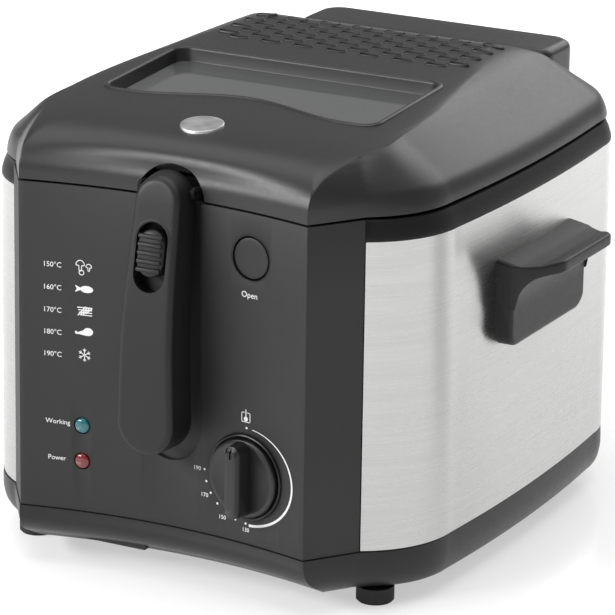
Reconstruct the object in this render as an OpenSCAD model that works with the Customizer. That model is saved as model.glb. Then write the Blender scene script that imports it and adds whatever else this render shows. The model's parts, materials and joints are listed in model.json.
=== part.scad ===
// Household deep fryer: steel-sided body with a dished control panel, a hinged
// lid with a viewing window and a vent grille, a fold-out basket handle, a
// lifting wire basket, a temperature dial, a lid release button and two side
// handles. Millimetres, +Z up, front towards -Y, origin at the middle of the
// footprint on the surface that the feet stand on.

/* [Body] */
// Width over the steel sides at their widest
body_w = 269.6; // [225:1:330]
// Depth from the front corners of the panel to the back of the steel
body_d = 300; // [262:1:360]
// Distance from the widest side in to each front corner of the panel
panel_inset = 50.8; // [46:0.2:58]
// How far the control panel is dished in at its middle
panel_sag = 11; // [6:0.5:13]
// Angle of the slanted cheeks, measured from the panel
cheek_angle = 54; // [48:1:60]
// Radius of the front corners of the steel
corner_r = 55.8; // [50:0.2:62]
// Distance from the panel corners back to the corner centres
corner_y = 75.2; // [70:0.2:80]
// How far the sides bulge out between the corners
side_bulge = 3.8; // [1:0.2:6]
// Radius of the rear corners
rear_r = 45; // [30:1:60]
// Thickness of the steel side sheet
sheet_t = 1; // [0.6:0.1:1.5]
// Thickness of moulded walls
wall_t = 2.6; // [2:0.1:3.2]
// Height of the bottom edge of the steel and panel
steel_z0 = 33.4; // [28:0.2:40]
// Height of the top edge of the steel
steel_z1 = 198.4; // [185:0.2:230]
// Height of the black rim band above the steel
rim_h = 11.5; // [9:0.5:14]
// Height of the feet below the base
foot_h = 8.6; // [6:0.2:12]
// Radius of each foot
foot_r = 10; // [7:0.5:14]
// Size of the tucked-in lower edge of the base
base_tuck = 12; // [6:0.5:16]

/* [Rear housing] */
// Half width of the rear housing
rear_hw = 78.4; // [60:0.2:90]
// Depth of the rear housing
rear_depth = 43.5; // [26:0.5:50]
// Height of the housing top above the steel top
rear_rise = 37.6; // [34:0.2:42]
// How far the cord inlet stands out at the back
inlet_out = 4; // [2:0.5:8]

/* [Lid] */
// Gap between the rim and the lid
lid_gap = 1.2; // [0.8:0.1:2]
// Height of the lid above its lower edge at the crown
lid_h = 38.4; // [34:0.2:44]
// How far the lid stands inside the steel at the sides
lid_in = 2.6; // [1:0.1:4]
// Wall of the lid
lid_t = 2.6; // [2:0.1:3.2]
// How far the lid opens, degrees
lid_open = 80; // [60:1:85]
// Radius of the hinge barrels
barrel_r = 3; // [2.8:0.1:3.2]
// Radius of the hinge pin
pin_r = 1.5; // [1:0.1:1.8]
// Half width of the window opening
window_hw = 80.6; // [60:0.2:84]
// Front edge of the window behind the panel corners
window_y0 = 76.4; // [70:0.2:90]
// Rear edge of the window behind the panel corners
window_y1 = 160.5; // [140:0.5:170]
// How far the front edge of the window bulges back in the middle
window_wave = 15; // [4:0.5:22]
// Radius of the window corners
window_r = 9; // [5:0.5:14]
// Depth of the window glass below the lid surface
window_drop = 7; // [5:0.5:9]
// Length of one vent slot
slot_l = 11.5; // [7:0.5:14]
// Width of one vent slot
slot_w = 3; // [2:0.1:4]
// Spacing of the slots along a row
slot_pitch = 20; // [17:0.5:24]
// Spacing of the rows of slots
row_pitch = 7.3; // [6:0.1:9]
// Number of rows of slots
slot_rows = 8; // [5:1:9]
// Front row of slots behind the panel corners
slot_y0 = 190; // [184:1:196]
// Half length of the badge
badge_rx = 11.6; // [9:0.2:13]
// Half depth of the badge
badge_ry = 11.2; // [9:0.2:13]

/* [Basket handle] */
// Half width of the handle at the top
grip_hw_top = 14; // [12:0.2:15]
// Half width of the handle at the bottom
grip_hw = 16; // [14:0.2:17]
// Lean of the upper handle face, degrees
grip_lean = 10.3; // [6:0.1:12]
// How far the handle stands in front of the panel corners
grip_out = 16; // [12:0.5:20]
// Height of the lower end of the handle
grip_z0 = 80.7; // [76:0.5:90]
// Depth of the handle from face to back
grip_depth = 20; // [16:0.5:21]
// Radius of the round head that carries the pivot
grip_head_r = 11.3; // [9:0.1:12]
// Half width of the channel in the panel
channel_hw = 17.6; // [16.5:0.1:20]
// Depth of the channel
channel_depth = 3.4; // [2:0.1:4]
// Lower end of the channel
channel_z0 = 69.5; // [62:0.5:76]
// Half width of the arch in the lid over the handle head
arch_hw = 19.4; // [18:0.2:22]
// Half width of the thumb slider
slider_hw = 8.2; // [7:0.1:9]
// Length of the thumb slider
slider_l = 25; // [20:0.5:26]
// Travel of the thumb slider
slider_travel = 7; // [4:0.5:8]
// How far the handle folds out, degrees
grip_open = 90; // [70:1:95]

/* [Controls] */
// Sideways place of the temperature dial
dial_x = 46.7; // [40:0.1:52]
// Height of the temperature dial
dial_z = 69.7; // [62:0.1:78]
// Radius of the dial
dial_r = 21; // [16:0.5:24]
// How far the dial stands out
dial_h = 14; // [9:0.5:18]
// Width of the grip bar across the dial
dial_bar = 11; // [8:0.5:14]
// Width of the ring round the dial
dial_ring = 2; // [1:0.1:3]
// Radius of the dial shaft
shaft_r = 3; // [2.5:0.1:4]
// Sideways place of the lid release button
button_x = 48.5; // [44:0.1:54]
// Height of the lid release button
button_z = 186.6; // [176:0.1:190]
// Radius of the button cap
button_r = 10.75; // [8:0.05:12]
// Width of the ring round the button
button_ring_w = 1.7; // [1:0.1:3]
// Travel of the button
button_travel = 3; // [2:0.5:4]
// Sideways place of the two lamps
lamp_x = -50.4; // [-56:0.1:-44]
// Height of the upper lamp
lamp_z1 = 80.5; // [76:0.5:88]
// Height of the lower lamp
lamp_z0 = 61; // [54:0.5:66]
// Radius of a lamp lens
lamp_r = 4.6; // [3:0.1:6]

/* [Side handles] */
// Front edge of each side handle behind the panel corners
side_y0 = 116; // [100:1:130]
// Width of each side handle
side_w = 92; // [80:1:110]
// Height of the shelf where it meets the steel
side_z1 = 171.5; // [160:0.5:180]
// Height of the mounting block
side_block_h = 48; // [40:1:60]
// How far the mounting block stands out
side_block_t = 8.4; // [7:0.2:12]
// How far the shelf stands out
side_reach = 30.4; // [24:0.2:36]
// Thickness of the lip at the edge of the shelf
side_lip_t = 5.4; // [4:0.2:8]
// How much the shelf narrows towards its lip at each end
side_taper = 14; // [6:1:20]

/* [Pot and basket] */
// Gap between the steel and the pot at each side
pot_side_gap = 27.8; // [24:0.5:34]
// Front of the pot behind the panel corners
pot_y0 = 54; // [50:0.5:62]
// Gap between the pot and the back of the steel
pot_back_gap = 38; // [34:0.5:46]
// Height of the pot floor
pot_z0 = 70; // [66:1:90]
// Corner radius of the pot
pot_r = 45; // [30:1:60]
// Wall of the pot
pot_t = 1.2; // [0.8:0.1:2]
// Width of the pot flange
flange_w = 6; // [4:0.5:7]
// Gap between the pot and the basket all round
basket_gap = 14; // [10:0.5:20]
// Height of the basket floor above the pot floor
basket_lift0 = 24; // [16:1:30]
// Height of the basket
basket_h = 92; // [70:1:95]
// Thickness of the basket wires
wire_t = 2; // [1.5:0.1:3]
// Spacing of the basket wires
wire_pitch = 15; // [12:1:24]
// How far the basket rises when the handle folds out
basket_travel = 30; // [20:1:32]
// Radius of the heating element loop
element_r = 72; // [50:1:80]
// Radius of the heating element tube
element_tube = 4.2; // [3:0.1:5]

/* [Fits] */
// Radial running clearance of pins and shafts
run_fit = 0.06; // [0.02:0.01:0.1]
// Clearance between pieces that pass each other
pass_gap = 0.4; // [0.3:0.1:1]

/* [Hidden] */
$fn = 64;
eps = 0.01;
panel_hw = body_w / 2 - panel_inset;
corner_x = body_w / 2 - side_bulge - corner_r;
rear_y = body_d - rear_r;
widest_y = (corner_y + rear_y) / 2;
rim_z1 = steel_z1 + rim_h;
lid_z0 = rim_z1 + lid_gap;
lid_z1 = lid_z0 + lid_h;
housing_y0 = body_d - 10.5;
housing_y1 = housing_y0 + rear_depth;
housing_z1 = steel_z1 + rear_rise;
front_y = -grip_out;
back_y = housing_y1 + inlet_out;
mid_y = (front_y + back_y) / 2;
hinge_y = housing_y0 - 4.5;
hinge_z = housing_z1 - 3;
lid_y1 = housing_y0 - 2;
ux = cos(cheek_angle);
uy = sin(cheek_angle);
pot_hw = body_w / 2 - pot_side_gap;
pot_y1 = body_d - pot_back_gap;
pot_z1 = rim_z1 - 4;
pot_mid = (pot_y0 + pot_y1) / 2;
basket_hw = pot_hw - basket_gap;
basket_y0 = pot_y0 + basket_gap;
basket_y1 = pot_y1 - basket_gap;
basket_z0 = pot_z0 + basket_lift0;
basket_z1 = basket_z0 + basket_h;
pivot_y = 7.8;
pivot_z = rim_z1 + 5.7;
face_z = rim_z1 - 23.9;
face_y = -8.6 - (grip_out - 16);
side_hw = body_w / 2;
side_mid = side_y0 + side_w / 2;
side_z0 = side_z1 - side_block_h;
black = [0.16, 0.16, 0.165];
dark = [0.1, 0.1, 0.105];
steel = [0.74, 0.74, 0.73];
silver = [0.82, 0.82, 0.83];

function panel_y(x) = panel_sag * (1 - (x / panel_hw) * (x / panel_hw));
function panel_tilt(x) = atan(-2 * panel_sag * x / (panel_hw * panel_hw));
function cheek_px(d) = panel_hw - uy * d;
function cheek_py(d) = ux * d;
function cheek_b(d) = (corner_x - cheek_px(d)) * ux + (corner_y - cheek_py(d)) * uy;
function cheek_c(d) = pow(corner_x - cheek_px(d), 2) + pow(corner_y - cheek_py(d), 2);
function cheek_root(d, s) = pow(cheek_b(d), 2) - cheek_c(d) + pow(corner_r - s, 2);
function cheek_t(d, s) = cheek_b(d) - sqrt(max(0, cheek_root(d, s)));
function cheek_end(d, s) = [cheek_px(d) + ux * cheek_t(d, s), cheek_py(d) + uy * cheek_t(d, s)];
function side_x(y, s) =
    corner_x + corner_r + side_bulge * (1 - pow((y - widest_y) / (widest_y - corner_y), 2)) - s;
// Right half of the body outline, set in by d at the front and by s at the sides.
function half_outline(d, s) = let (
    e = cheek_end(d, s),
    a0 = atan2(e[1] - corner_y, e[0] - corner_x),
    x1 = panel_hw - 0.41 * d
) concat(
    [for (i = [0:8]) let (x = x1 * i / 8) [x, panel_y(x) + 1.12 * d]],
    [e],
    [for (i = [1:8]) let (a = a0 * (1 - i / 8))
        [corner_x + (corner_r - s) * cos(a), corner_y + (corner_r - s) * sin(a)]],
    [for (i = [1:9]) let (y = corner_y + (rear_y - corner_y) * i / 10) [side_x(y, s), y]],
    [for (i = [0:8]) let (a = 90 * i / 8)
        [corner_x + corner_r - rear_r + (rear_r - s) * cos(a), rear_y + (rear_r - s) * sin(a)]]
);
function mirrored(p) = [for (i = [len(p) - 1:-1:0]) if (p[i][0] > 0.001) [-p[i][0], p[i][1]]];
function outline(d, s) = concat(half_outline(d, s), mirrored(half_outline(d, s)));
// Height of the lid surface over its lower edge against the depth behind the front edge.
function roll_points(t) = [
    [t, -40], [t, 6.9 - t], [2.2 + t, 12 - t], [4.9 + t, 16.6 - t], [9.3 + t, 20.3 - t],
    [14.6 + t, 23.3 - t], [25 + t, 27 - t], [40 + t, 29.6 - t], [60 + t, 31.3 - t],
    [82 + t, 32.6 - t], [120, 34.8 - t], [160, 36.4 - t], [200, lid_h - t],
    [body_d * 1.4, lid_h - t], [body_d * 1.4, -40]
];
function side_points(t) = [
    [t, -40], [t, 1 - t], [1.5 + t, 4.4 - t], [4 + t, 9.6 - t], [8 + t, 16.4 - t],
    [13 + t, 23 - t], [20 + t, 29 - t], [29 + t, 33.6 - t], [40 + t, 36.6 - t],
    [52 + t, lid_h - t]
];
function window_front(x) = window_y0 + window_wave * pow(cos(min(90, abs(x) * 90 / (window_hw * 0.8))), 2);
function window_points(g) = let (h = window_hw - g, r = window_r) concat(
    [for (i = [-10:10]) let (x = (h - r) * i / 10) [x, window_front(x) + g]],
    [for (i = [1:4]) let (a = -90 + 22.5 * i) [h - r + r * cos(a), window_y0 + g + r + r * sin(a)]],
    [for (i = [0:4]) let (a = 22.5 * i) [h - r + r * cos(a), window_y1 - g - r + r * sin(a)]],
    [for (i = [0:4]) let (a = 90 + 22.5 * i) [-h + r + r * cos(a), window_y1 - g - r + r * sin(a)]],
    [for (i = [0:3]) let (a = 180 + 22.5 * i) [-h + r + r * cos(a), window_y0 + g + r + r * sin(a)]]
);

// Moves a piece from the panel-corner frame to the part's own origin.
module here() {
    translate([0, -mid_y, 0]) children();
}
module slab(z0, z1, d, s) {
    translate([0, 0, z0]) linear_extrude(height = z1 - z0) polygon(outline(d, s));
}
// Box from low corner to high corner.
module box(lo, hi) {
    translate(lo) cube([hi[0] - lo[0], hi[1] - lo[1], hi[2] - lo[2]]);
}
// Rounded rectangle plate between two heights.
module round_plate(hw, y0, y1, r, z0, z1) {
    translate([0, 0, z0]) linear_extrude(height = z1 - z0) union() {
        translate([-hw + r, y0]) square([2 * (hw - r), y1 - y0]);
        translate([-hw, y0 + r]) square([2 * hw, y1 - y0 - 2 * r]);
        translate([-hw + r, y0 + r]) circle(r = r);
        translate([hw - r, y0 + r]) circle(r = r);
        translate([-hw + r, y1 - r]) circle(r = r);
        translate([hw - r, y1 - r]) circle(r = r);
    }
}
// Places a piece on the dished panel with its own +Z pointing outwards.
module on_panel(x, z) {
    translate([x, panel_y(x), z]) rotate([0, 0, panel_tilt(x)]) rotate([90, 0, 0]) children();
}
// Extrudes a shape drawn as [depth, height] sideways from -x to +x.
module across(hw) {
    translate([-hw, 0, 0]) rotate([90, 0, 90]) linear_extrude(height = 2 * hw) children();
}
// Extrudes a shape drawn as [sideways, height] from y0 back to y1.
module along(y0, y1) {
    translate([0, y1, 0]) rotate([90, 0, 0]) linear_extrude(height = y1 - y0) children();
}
module screw(r, l) {
    union() {
        cylinder(r = r * 1.9, h = r * 1.1);
        translate([0, 0, -l]) cylinder(r = r, h = l + eps);
    }
}

module base_body(d, z0) {
    intersection() {
        slab(z0, steel_z0, d, d);
        along(-5, body_d + 5) polygon([
            [-body_w / 2 + d + base_tuck, foot_h + d], [body_w / 2 - d - base_tuck, foot_h + d],
            [body_w / 2 - d - base_tuck * 0.35, foot_h + d + base_tuck * 0.3],
            [body_w / 2 - d, foot_h + d + base_tuck], [body_w / 2 - d, steel_z0 + 1],
            [-body_w / 2 + d, steel_z0 + 1], [-body_w / 2 + d, foot_h + d + base_tuck],
            [-body_w / 2 + d + base_tuck * 0.35, foot_h + d + base_tuck * 0.3]
        ]);
        across(body_w) polygon([
            [d + base_tuck, foot_h + d], [body_d - d - base_tuck, foot_h + d],
            [body_d - d, foot_h + d + base_tuck], [body_d - d, steel_z0 + 1],
            [d, steel_z0 + 1], [d, foot_h + d + base_tuck],
            [d + base_tuck * 0.35, foot_h + d + base_tuck * 0.3]
        ]);
    }
}
module base_tray() {
    color(black) here() difference() {
        base_body(0, foot_h);
        difference() {
            base_body(wall_t, foot_h + wall_t);
            for (x = [-1, 1], y = [0, 1])
                translate([x * (panel_hw + 18), 47 + y * (body_d - 97), 0]) cylinder(r = 7, h = 60);
        }
        translate([0, 0, steel_z0 - 3]) linear_extrude(height = 4) polygon(outline(wall_t, wall_t));
    }
}
module rear_sill() {
    color(black) here()
        box([-rear_hw, body_d, foot_h + base_tuck], [rear_hw, housing_y1 - 1, steel_z0]);
}
module feet() {
    color(dark) here() for (x = [-1, 1], y = [0, 1])
        translate([x * (panel_hw + 18), 47 + y * (body_d - 97), 0]) union() {
            cylinder(r = foot_r - 1, h = 1.2);
            translate([0, 0, 1]) cylinder(r = foot_r, h = foot_h - 1);
        }
}
module base_screws() {
    color(steel) here() for (x = [-1, 1], y = [0, 1])
        translate([x * (panel_hw - 34), 52 + y * (body_d - 107), foot_h - 1.2]) cylinder(r = 3.2, h = 1.2);
}
module channel(d, z1) {
    along(-20, panel_sag + channel_depth + d) union() {
        translate([0, channel_z0 + channel_hw]) circle(r = channel_hw + d);
        translate([-channel_hw - d, channel_z0 + channel_hw])
            square([2 * (channel_hw + d), z1 - channel_z0 - channel_hw]);
    }
}
module front_fascia() {
    e = cheek_end(0, 0);
    color(black) here() difference() {
        union() {
            intersection() {
                difference() {
                    slab(steel_z0, rim_z1, 0, 0);
                    slab(steel_z0 - 1, rim_z1 + 1, wall_t, wall_t);
                }
                box([-e[0], -5, steel_z0], [e[0], e[1], rim_z1]);
            }
            intersection() {
                channel(wall_t, rim_z1);
                box([-channel_hw - 5, 5, channel_z0 - 5], [channel_hw + 5, 40, rim_z1]);
                slab(steel_z0, rim_z1, 0, 0);
            }
        }
        channel(0, rim_z1 + 5);
        box([-channel_hw, -5, rim_z1 - 11], [channel_hw, 40, rim_z1 + 5]);
        on_panel(dial_x, dial_z) translate([0, 0, -10]) cylinder(r = shaft_r + 2, h = 20);
        on_panel(dial_x, dial_z) cylinder(r = dial_r + dial_ring + run_fit, h = 20);
        on_panel(button_x, button_z) translate([0, 0, -10])
            cylinder(r = button_r + button_ring_w, h = 20);
        on_panel(button_x, button_z) translate([0, 0, -wall_t - 10])
            cylinder(r = button_r + 3 + run_fit, h = 10);
        on_panel(lamp_x, lamp_z1) translate([0, 0, -10]) cylinder(r = lamp_r, h = 20);
        on_panel(lamp_x, lamp_z0) translate([0, 0, -10]) cylinder(r = lamp_r, h = 20);
    }
}
module steel_casing() {
    e = cheek_end(0, 0);
    color(steel) here() difference() {
        slab(steel_z0, steel_z1, 0, 0);
        slab(steel_z0 - 1, steel_z1 + 1, sheet_t, sheet_t);
        box([-e[0], -20, steel_z0 - 1], [e[0], corner_y, steel_z1 + 1]);
    }
}
module top_rim() {
    e = cheek_end(0, 0);
    color(black) here() difference() {
        union() {
            difference() {
                slab(steel_z1, rim_z1, wall_t, 0);
                slab(steel_z1 - 1, rim_z1 + 1, wall_t + 4, 5);
            }
            difference() {
                slab(steel_z1 + 1.5, pot_z1 - pot_t, wall_t + 3, 4);
                round_plate(pot_hw + 0.5, pot_y0 - 0.5, pot_y1 + 0.5, pot_r, steel_z1 - 5, rim_z1 + 5);
            }
        }
        box([-channel_hw - wall_t - pass_gap, -5, steel_z1 - 2],
            [channel_hw + wall_t + pass_gap, 30, rim_z1 + 2]);
        on_panel(button_x, button_z) translate([-10, 4, -32]) cube([20, 40, 24]);
        on_panel(button_x, button_z) translate([0, 0, -wall_t - 8])
            cylinder(r = button_r + 3 + pass_gap, h = 9);
        intersection() {
            box([-e[0], -5, steel_z1 - 1], [e[0], e[1], rim_z1 + 1]);
            difference() {
                slab(steel_z1 - 1, rim_z1 + 1, 0, 0);
                slab(steel_z1 - 2, rim_z1 + 2, wall_t, wall_t);
            }
        }
    }
}
module housing_plan(d, z0, z1) {
    round_plate(rear_hw - d, housing_y0 + d, housing_y1 - d, 12 - d, z0, z1);
}
module rear_housing() {
    color(black) here() difference() {
        housing_plan(0, steel_z0, housing_z1);
        housing_plan(wall_t, steel_z0 - 1, housing_z1 - wall_t);
        slab(steel_z0 - 2, rim_z1, 0, 0);
        translate([-45, housing_y1 - 8, 62]) rotate([-90, 0, 0]) cylinder(r = 7, h = 20);
    }
}
module cord_inlet() {
    color(dark) here() difference() {
        translate([-45, housing_y1 - wall_t - 4, 62]) rotate([-90, 0, 0]) union() {
            cylinder(r = 7, h = wall_t + 4);
            translate([0, 0, wall_t + 4 - eps]) cylinder(r = 10, h = inlet_out + eps);
            cylinder(r = 10, h = 4);
        }
        translate([-45, housing_y1 - 20, 62]) rotate([-90, 0, 0]) cylinder(r = 4, h = 40);
    }
}
module oil_pot() {
    color(silver) here() difference() {
        union() {
            round_plate(pot_hw, pot_y0, pot_y1, pot_r, pot_z0, pot_z1);
            round_plate(pot_hw + flange_w, pot_y0 - flange_w, pot_y1 + flange_w, pot_r + flange_w,
                pot_z1 - pot_t, pot_z1);
        }
        round_plate(pot_hw - pot_t, pot_y0 + pot_t, pot_y1 - pot_t, pot_r - pot_t,
            pot_z0 + pot_t, pot_z1 + 1);
    }
}
module pot_posts() {
    color(dark) here() for (x = [-1, 1], y = [-1, 1])
        translate([x * (pot_hw - 18), pot_mid + y * 70, foot_h + wall_t])
            cylinder(r = 5, h = pot_z0 - foot_h - wall_t);
}
module heating_element() {
    color([0.35, 0.33, 0.31]) here() translate([0, pot_mid, pot_z0 - element_tube - 0.1]) union() {
        rotate_extrude() translate([element_r, 0]) circle(r = element_tube);
        for (x = [-12, 12]) translate([x, element_r - 1, -16]) cylinder(r = 3, h = 16);
    }
}
module heat_shield() {
    color(steel) here() difference() {
        translate([0, pot_mid, pot_z0 - 28]) cylinder(r = element_r + 14, h = 1);
        for (x = [-12, 12]) translate([x, pot_mid + element_r - 1, 0]) cylinder(r = 4, h = 90);
    }
}
module shield_posts() {
    color(steel) here() for (a = [45:90:315])
        translate([0, pot_mid, foot_h + wall_t]) rotate([0, 0, a]) translate([element_r - 10, 0, 0])
            cylinder(r = 3, h = pot_z0 - 28 - foot_h - wall_t);
}
module thermostat() {
    color([0.5, 0.5, 0.48]) here() on_panel(dial_x, dial_z) difference() {
        translate([-14, -14, -28]) cube([28, 28, 22]);
        translate([0, 0, -30]) cylinder(r = shaft_r + run_fit, h = 40);
    }
}
module thermal_cutout() {
    color([0.6, 0.58, 0.5]) here() translate([0, pot_mid, pot_z0 - 12]) cylinder(r = 9, h = 11.9);
}
module terminal_block() {
    color([0.85, 0.85, 0.8]) here() translate([-60, 26, foot_h + wall_t]) cube([36, 14, 14]);
}
module lamp_board() {
    color([0.2, 0.36, 0.24]) here() on_panel(lamp_x, (lamp_z0 + lamp_z1) / 2)
        translate([-8, -22, -10.6]) cube([16, 44, 1.6]);
}
module lamp(z) {
    here() on_panel(lamp_x, z) union() {
        translate([0, 0, -9]) cylinder(r = lamp_r, h = 9.6);
        translate([0, 0, 0.6]) cylinder(r = lamp_r - 1, h = 0.6);
    }
}
module lamp_working() {
    color([0.2, 0.5, 0.52]) lamp(lamp_z1);
}
module lamp_power() {
    color([0.55, 0.16, 0.2]) lamp(lamp_z0);
}
module dial_ring_trim() {
    color(dark) here() on_panel(dial_x, dial_z) difference() {
        cylinder(r = dial_r + dial_ring, h = 2);
        translate([0, 0, -1]) cylinder(r = dial_r + pass_gap, h = 5);
    }
}
module button_ring() {
    color(dark) here() on_panel(button_x, button_z) difference() {
        translate([0, 0, -wall_t]) cylinder(r = button_r + button_ring_w, h = wall_t + 0.3);
        translate([0, 0, -5]) cylinder(r = button_r + run_fit, h = 10);
    }
}
module button_guide() {
    color(dark) here() on_panel(button_x, button_z) difference() {
        translate([0, 0, -wall_t - 6]) cylinder(r = button_r + 3, h = 6);
        translate([0, 0, -15]) cylinder(r = button_r + run_fit, h = 20);
    }
}
module grip_bracket() {
    px = grip_hw_top + pass_gap + 1;
    color(dark) here() difference() {
        union() {
            for (x = [-1, 1]) {
                box([x * px - 0.9, pivot_y, pivot_z - 3], [x * px + 0.9, 29.5, pivot_z + 2.6]);
                translate([x * px - 0.9, pivot_y, pivot_z]) rotate([0, 90, 0]) cylinder(r = 3, h = 1.8);
            }
            box([-px - 0.9, 25.5, steel_z1 + 1.5], [px + 0.9, 29.5, pivot_z + 2.6]);
        }
        translate([-30, pivot_y, pivot_z]) rotate([0, 90, 0]) cylinder(r = 1.5, h = 60);
    }
}
module grip_pin() {
    px = grip_hw_top + pass_gap + 1.9;
    color(steel) here() translate([-px, pivot_y, pivot_z]) rotate([0, 90, 0])
        cylinder(r = 1.5, h = 2 * px);
}
// One side handle on the right, cut to the curve of the steel.
module side_handle() {
    difference() {
        intersection() {
            along(side_y0, side_y0 + side_w) polygon([
                [side_hw - 6, side_z1], [side_hw + 5, side_z1 - 1.4], [side_hw + 13, side_z1 - 2.9],
                [side_hw + 20, side_z1 - 2.9], [side_hw + side_reach - 5.4, side_z1 - 1.5],
                [side_hw + side_reach - 1.4, side_z1 - 0.7], [side_hw + side_reach, side_z1 - 2],
                [side_hw + side_reach, side_z1 - 0.7 - side_lip_t],
                [side_hw + side_reach - 1.7, side_z1 - 1.9 - side_lip_t],
                [side_hw + side_reach - 7, side_z1 - 2.5 - side_lip_t],
                [side_hw + side_block_t + 9, side_z1 - 10.5],
                [side_hw + side_block_t + 4.4, side_z1 - 14],
                [side_hw + side_block_t + 1.2, side_z1 - 20.5],
                [side_hw + side_block_t, side_z1 - 26.5],
                [side_hw + side_block_t, side_z0 + 5], [side_hw + side_block_t - 2, side_z0 + 1.2],
                [side_hw + side_block_t - 5, side_z0], [side_hw - 6, side_z0]
            ]);
            translate([0, 0, side_z0 - 5]) linear_extrude(height = side_block_h + 10) polygon([
                [side_hw - 10, side_y0], [side_hw + 5, side_y0 + 0.5],
                [side_hw + side_block_t + 3, side_y0 + side_taper * 0.25],
                [side_hw + side_reach - 3, side_y0 + side_taper * 0.9],
                [side_hw + side_reach, side_y0 + side_taper + 4],
                [side_hw + side_reach, side_y0 + side_w - side_taper - 4],
                [side_hw + side_reach - 3, side_y0 + side_w - side_taper * 0.9],
                [side_hw + side_block_t + 3, side_y0 + side_w - side_taper * 0.25],
                [side_hw + 5, side_y0 + side_w - 0.5], [side_hw - 10, side_y0 + side_w]
            ]);
        }
        slab(side_z0 - 10, side_z1 + 10, 0, 0);
    }
}
module side_handle_right() {
    color(black) here() side_handle();
}
module side_handle_left() {
    color(black) here() mirror([1, 0, 0]) side_handle();
}
module side_handle_screws() {
    color(steel) here() intersection() {
        for (m = [0, 1], y = [-1, 1]) mirror([m, 0, 0])
            translate([side_x(side_mid + y * 28, sheet_t) - 2, side_mid + y * 28, side_z0 + 20])
                rotate([0, 90, 0]) cylinder(r = 3.4, h = 3);
        slab(steel_z0, steel_z1, sheet_t, sheet_t);
    }
}
module hinge_lugs() {
    color(black) here() difference() {
        union() for (x = [-56, 56]) {
            translate([x - 4, hinge_y, hinge_z]) rotate([0, 90, 0]) cylinder(r = barrel_r, h = 8);
            box([x - 4, hinge_y, hinge_z - 1.5], [x + 4, housing_y0, hinge_z + 1.5]);
        }
        translate([-80, hinge_y, hinge_z]) rotate([0, 90, 0]) cylinder(r = pin_r, h = 160);
    }
}
module hinge_pin() {
    color(steel) here() for (x = [-1, 1]) translate([x * 56 - 13, hinge_y, hinge_z])
        rotate([0, 90, 0]) cylinder(r = pin_r, h = 26);
}

// Solid lid shape, set in by t all round and down by t at the top.
module lid_solid(t, z0) {
    intersection() {
        slab(z0, lid_z1 - t, t, lid_in + t);
        translate([0, 0, lid_z0]) across(body_w) polygon(roll_points(t));
        translate([0, 0, lid_z0]) along(-10, body_d + 10) polygon(concat(
            [for (p = side_points(t)) [side_hw - lid_in - p[0] + eps, p[1]]],
            [for (i = [len(side_points(t)) - 1:-1:0]) let (p = side_points(t)[i])
                [-side_hw + lid_in + p[0] - eps, p[1]]]
        ));
        across(body_w) polygon([
            [-20, z0 - 1], [lid_y1 - 3 - t, z0 - 1], [lid_y1 - t, hinge_z - 4],
            [lid_y1 - t, hinge_z + 1 - t], [lid_y1 - 1 - t, hinge_z + 3 - t],
            [lid_y1 - 7, hinge_z + 5.4 - t], [lid_y1 - 17, hinge_z + 9 - t],
            [lid_y1 - 32, hinge_z + 12.8 - t], [lid_y1 - 47, lid_z1 - 1.4 - t],
            [lid_y1 - 70, lid_z1 - t], [-20, lid_z1 - t]
        ]);
    }
}
module vent_slots() {
    for (r = [0:slot_rows - 1]) let (n = (r % 2 == 0) ? 4 : 3.5)
        for (i = [-n:1:n]) if (abs(i * slot_pitch) < window_hw + 4)
            box([i * slot_pitch - slot_l / 2, slot_y0 + r * row_pitch - slot_w / 2, lid_z0 + 15],
                [i * slot_pitch + slot_l / 2, slot_y0 + r * row_pitch + slot_w / 2, lid_z1 + 5]);
}
module arch_cut() {
    along(-20, 33) union() {
        translate([0, rim_z1]) circle(r = arch_hw);
        translate([-arch_hw, rim_z1 - 20]) square([2 * arch_hw, 20]);
    }
}
module lid_shell() {
    color(black) here() difference() {
        lid_solid(0, lid_z0);
        lid_solid(lid_t, lid_z0 - 1);
        translate([0, 0, lid_z0]) linear_extrude(height = lid_h + 5) polygon(window_points(0));
        vent_slots();
        arch_cut();
        badge_shape(run_fit);
        for (x = [-56, 56])
            box([x - 5, hinge_y - 7, hinge_z - 8], [x + 5, hinge_y + 12, hinge_z + 12]);
        box([-70, hinge_y - 4.5, lid_z0 - 2], [70, hinge_y + 8, hinge_z - 2.2]);
        for (x = [-69, -51.2, 43, 60.8]) translate([x, hinge_y, hinge_z])
            rotate([0, 90, 0]) cylinder(r = barrel_r + 0.2, h = 8.2);
    }
}
module lid_knuckles() {
    color(black) here() difference() {
        union() {
            for (x = [-68.8, -51.2, 43.2, 60.8])
                translate([x, hinge_y, hinge_z]) rotate([0, 90, 0]) cylinder(r = barrel_r, h = 8);
            intersection() {
                union() for (x = [-68.8, -51.2, 43.2, 60.8])
                    box([x, hinge_y - 18, hinge_z - 1.5], [x + 8, hinge_y, hinge_z + 12]);
                lid_solid(lid_t, lid_z0);
            }
        }
        translate([-80, hinge_y, hinge_z]) rotate([0, 90, 0]) cylinder(r = pin_r + run_fit, h = 160);
    }
}
module lid_window() {
    color([0.5, 0.52, 0.53]) here() translate([0, 0, lid_z0 + 33 - window_drop - 3])
        linear_extrude(height = 3) polygon(window_points(2));
}
module window_frame() {
    color(black) here() difference() {
        translate([0, 0, lid_z0 + 33 - window_drop - 5]) linear_extrude(height = window_drop + 3)
            polygon(window_points(0));
        translate([0, 0, lid_z0 + 33 - window_drop - 3]) linear_extrude(height = window_drop + 8)
            polygon(window_points(2));
        translate([0, 0, lid_z0]) linear_extrude(height = lid_h) polygon(window_points(6));
    }
}
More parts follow.
